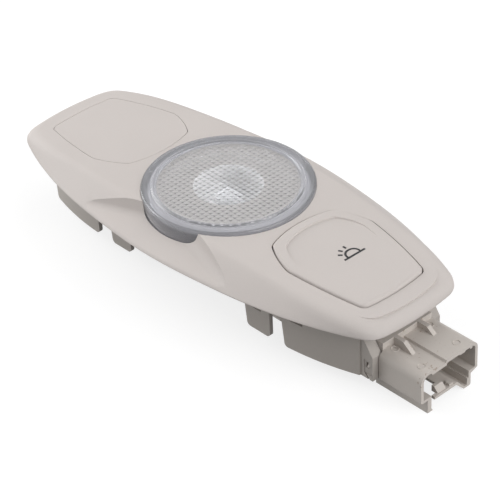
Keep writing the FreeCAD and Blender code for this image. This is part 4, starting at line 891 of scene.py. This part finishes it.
def make_floor(stage):
    """Wide flat floor under the lowest point, white to the eye with the object's faint shadow."""
    half_side, seen_grey, glow_strength, roughness = 3.0, 0.30, 0.78, 0.9
    level = CAD_BOX[0].z
    y, x = np.meshgrid((-half_side, half_side), (-half_side, half_side), indexing="ij")
    points = np.stack([x, y, np.full_like(x, level)], -1).reshape(-1, 3)
    material, nodes, links, shader, out = new_material("floor_pale")
    shader.inputs["Base Color"].default_value = (*stage.floor_colour, 1)
    shader.inputs["Roughness"].default_value = roughness
    shader.inputs["Specular IOR Level"].default_value = 0.0
    shadowed = nodes.new("ShaderNodeBsdfDiffuse")
    shadowed.inputs["Color"].default_value = (seen_grey, seen_grey, seen_grey, 1)
    glow = nodes.new("ShaderNodeEmission")
    glow.inputs["Strength"].default_value = glow_strength
    seen = nodes.new("ShaderNodeAddShader")
    links.new(shadowed.outputs["BSDF"], seen.inputs[0])
    links.new(glow.outputs["Emission"], seen.inputs[1])
    eye = eye_ray(nodes, links)
    blend_shaders(nodes, links, eye, shader.outputs["BSDF"], seen.outputs["Shader"], out)
    floor = surface("floor", points, grid_faces(2, 2), material)


def make_world(stage):
    """World that lights evenly and is white to the eye."""
    world = bpy.data.worlds.new("studio")
    bpy.context.scene.world = world
    world.use_nodes = True
    nodes, links = world.node_tree.nodes, world.node_tree.links
    nodes.clear()
    out = nodes.new("ShaderNodeOutputWorld")
    even, white = nodes.new("ShaderNodeBackground"), nodes.new("ShaderNodeBackground")
    for node, strength in ((even, stage.world), (white, 1.0)):
        node.inputs["Color"].default_value = (1, 1, 1, 1)
        node.inputs["Strength"].default_value = strength
    eye = eye_ray(nodes, links)
    blend_shaders(nodes, links, eye, even.outputs["Background"], white.outputs["Background"], out)


def area_lamp(name, place, size, power):
    """Square soft lamp that points at the object's origin."""
    data = bpy.data.lights.new(name, "AREA")
    data.shape = "SQUARE"
    data.size = size
    data.energy = power
    lamp = bpy.data.objects.new(name, data)
    lamp.location = place
    lamp.rotation_euler = Vector(place).to_track_quat("Z", "Y").to_euler()
    bpy.context.scene.collection.objects.link(lamp)


def make_camera():
    """Camera at the photograph's place and turn. Its directions are made square to each other."""
    place = Vector((495.083, -440.037, 457.251)) * MM
    ahead = Vector((-0.601244, 0.545064, -0.584304)).normalized()
    right = Vector((0.690583, 0.722317, -0.036796))
    right = (right - ahead * right.dot(ahead)).normalized()
    up = right.cross(ahead)
    turn = Matrix((right, up, -ahead)).transposed()
    data = bpy.data.cameras.new("camera")
    data.sensor_width = 36.0
    data.lens = 163.95
    camera = bpy.data.objects.new("camera", data)
    camera.matrix_world = Matrix.Translation(place) @ turn.to_4x4()
    bpy.context.scene.collection.objects.link(camera)
    bpy.context.scene.camera = camera


class LAMP_PT_panel(bpy.types.Panel):
    """Lists the steps that dress the dome light"""

    bl_label = "Dome light"
    bl_space_type = "VIEW_3D"
    bl_region_type = "UI"
    bl_category = "Dome light"

    def draw(self, context):
        for group in GROUPS:
            box = self.layout.box()
            values = settings(group)
            for name in values.bl_rna.properties.keys():
                if name not in ("rna_type", "name"):
                    box.prop(values, name)
        for operator in STEPS:
            self.layout.operator(operator.bl_idname)


GROUPS = {
    "lamp_colours": LampColours,
    "lamp_lens": LampLens,
    "lamp_symbol": LampSymbol,
    "lamp_stage": LampStage,
}
STEPS = (LAMP_OT_mouldings, LAMP_OT_housing, LAMP_OT_switch, LAMP_OT_lens, LAMP_OT_light,
         LAMP_OT_symbol, LAMP_OT_stage)


def register():
    """Registers the groups, the steps and the panel."""
    for name, group in GROUPS.items():
        bpy.utils.register_class(group)
        setattr(bpy.types.Scene, name, PointerProperty(type=group))
    for item in STEPS + (LAMP_PT_panel,):
        bpy.utils.register_class(item)


def unregister():
    """Takes everything that register added away again."""
    for item in reversed(STEPS + (LAMP_PT_panel,)):
        bpy.utils.unregister_class(item)
    for name, group in GROUPS.items():
        delattr(bpy.types.Scene, name)
        bpy.utils.unregister_class(group)


def main():
    register()
    for step in STEPS:
        group, name = step.bl_idname.split(".")
        getattr(getattr(bpy.ops, group), name)()


if __name__ == "__main__":
    main()
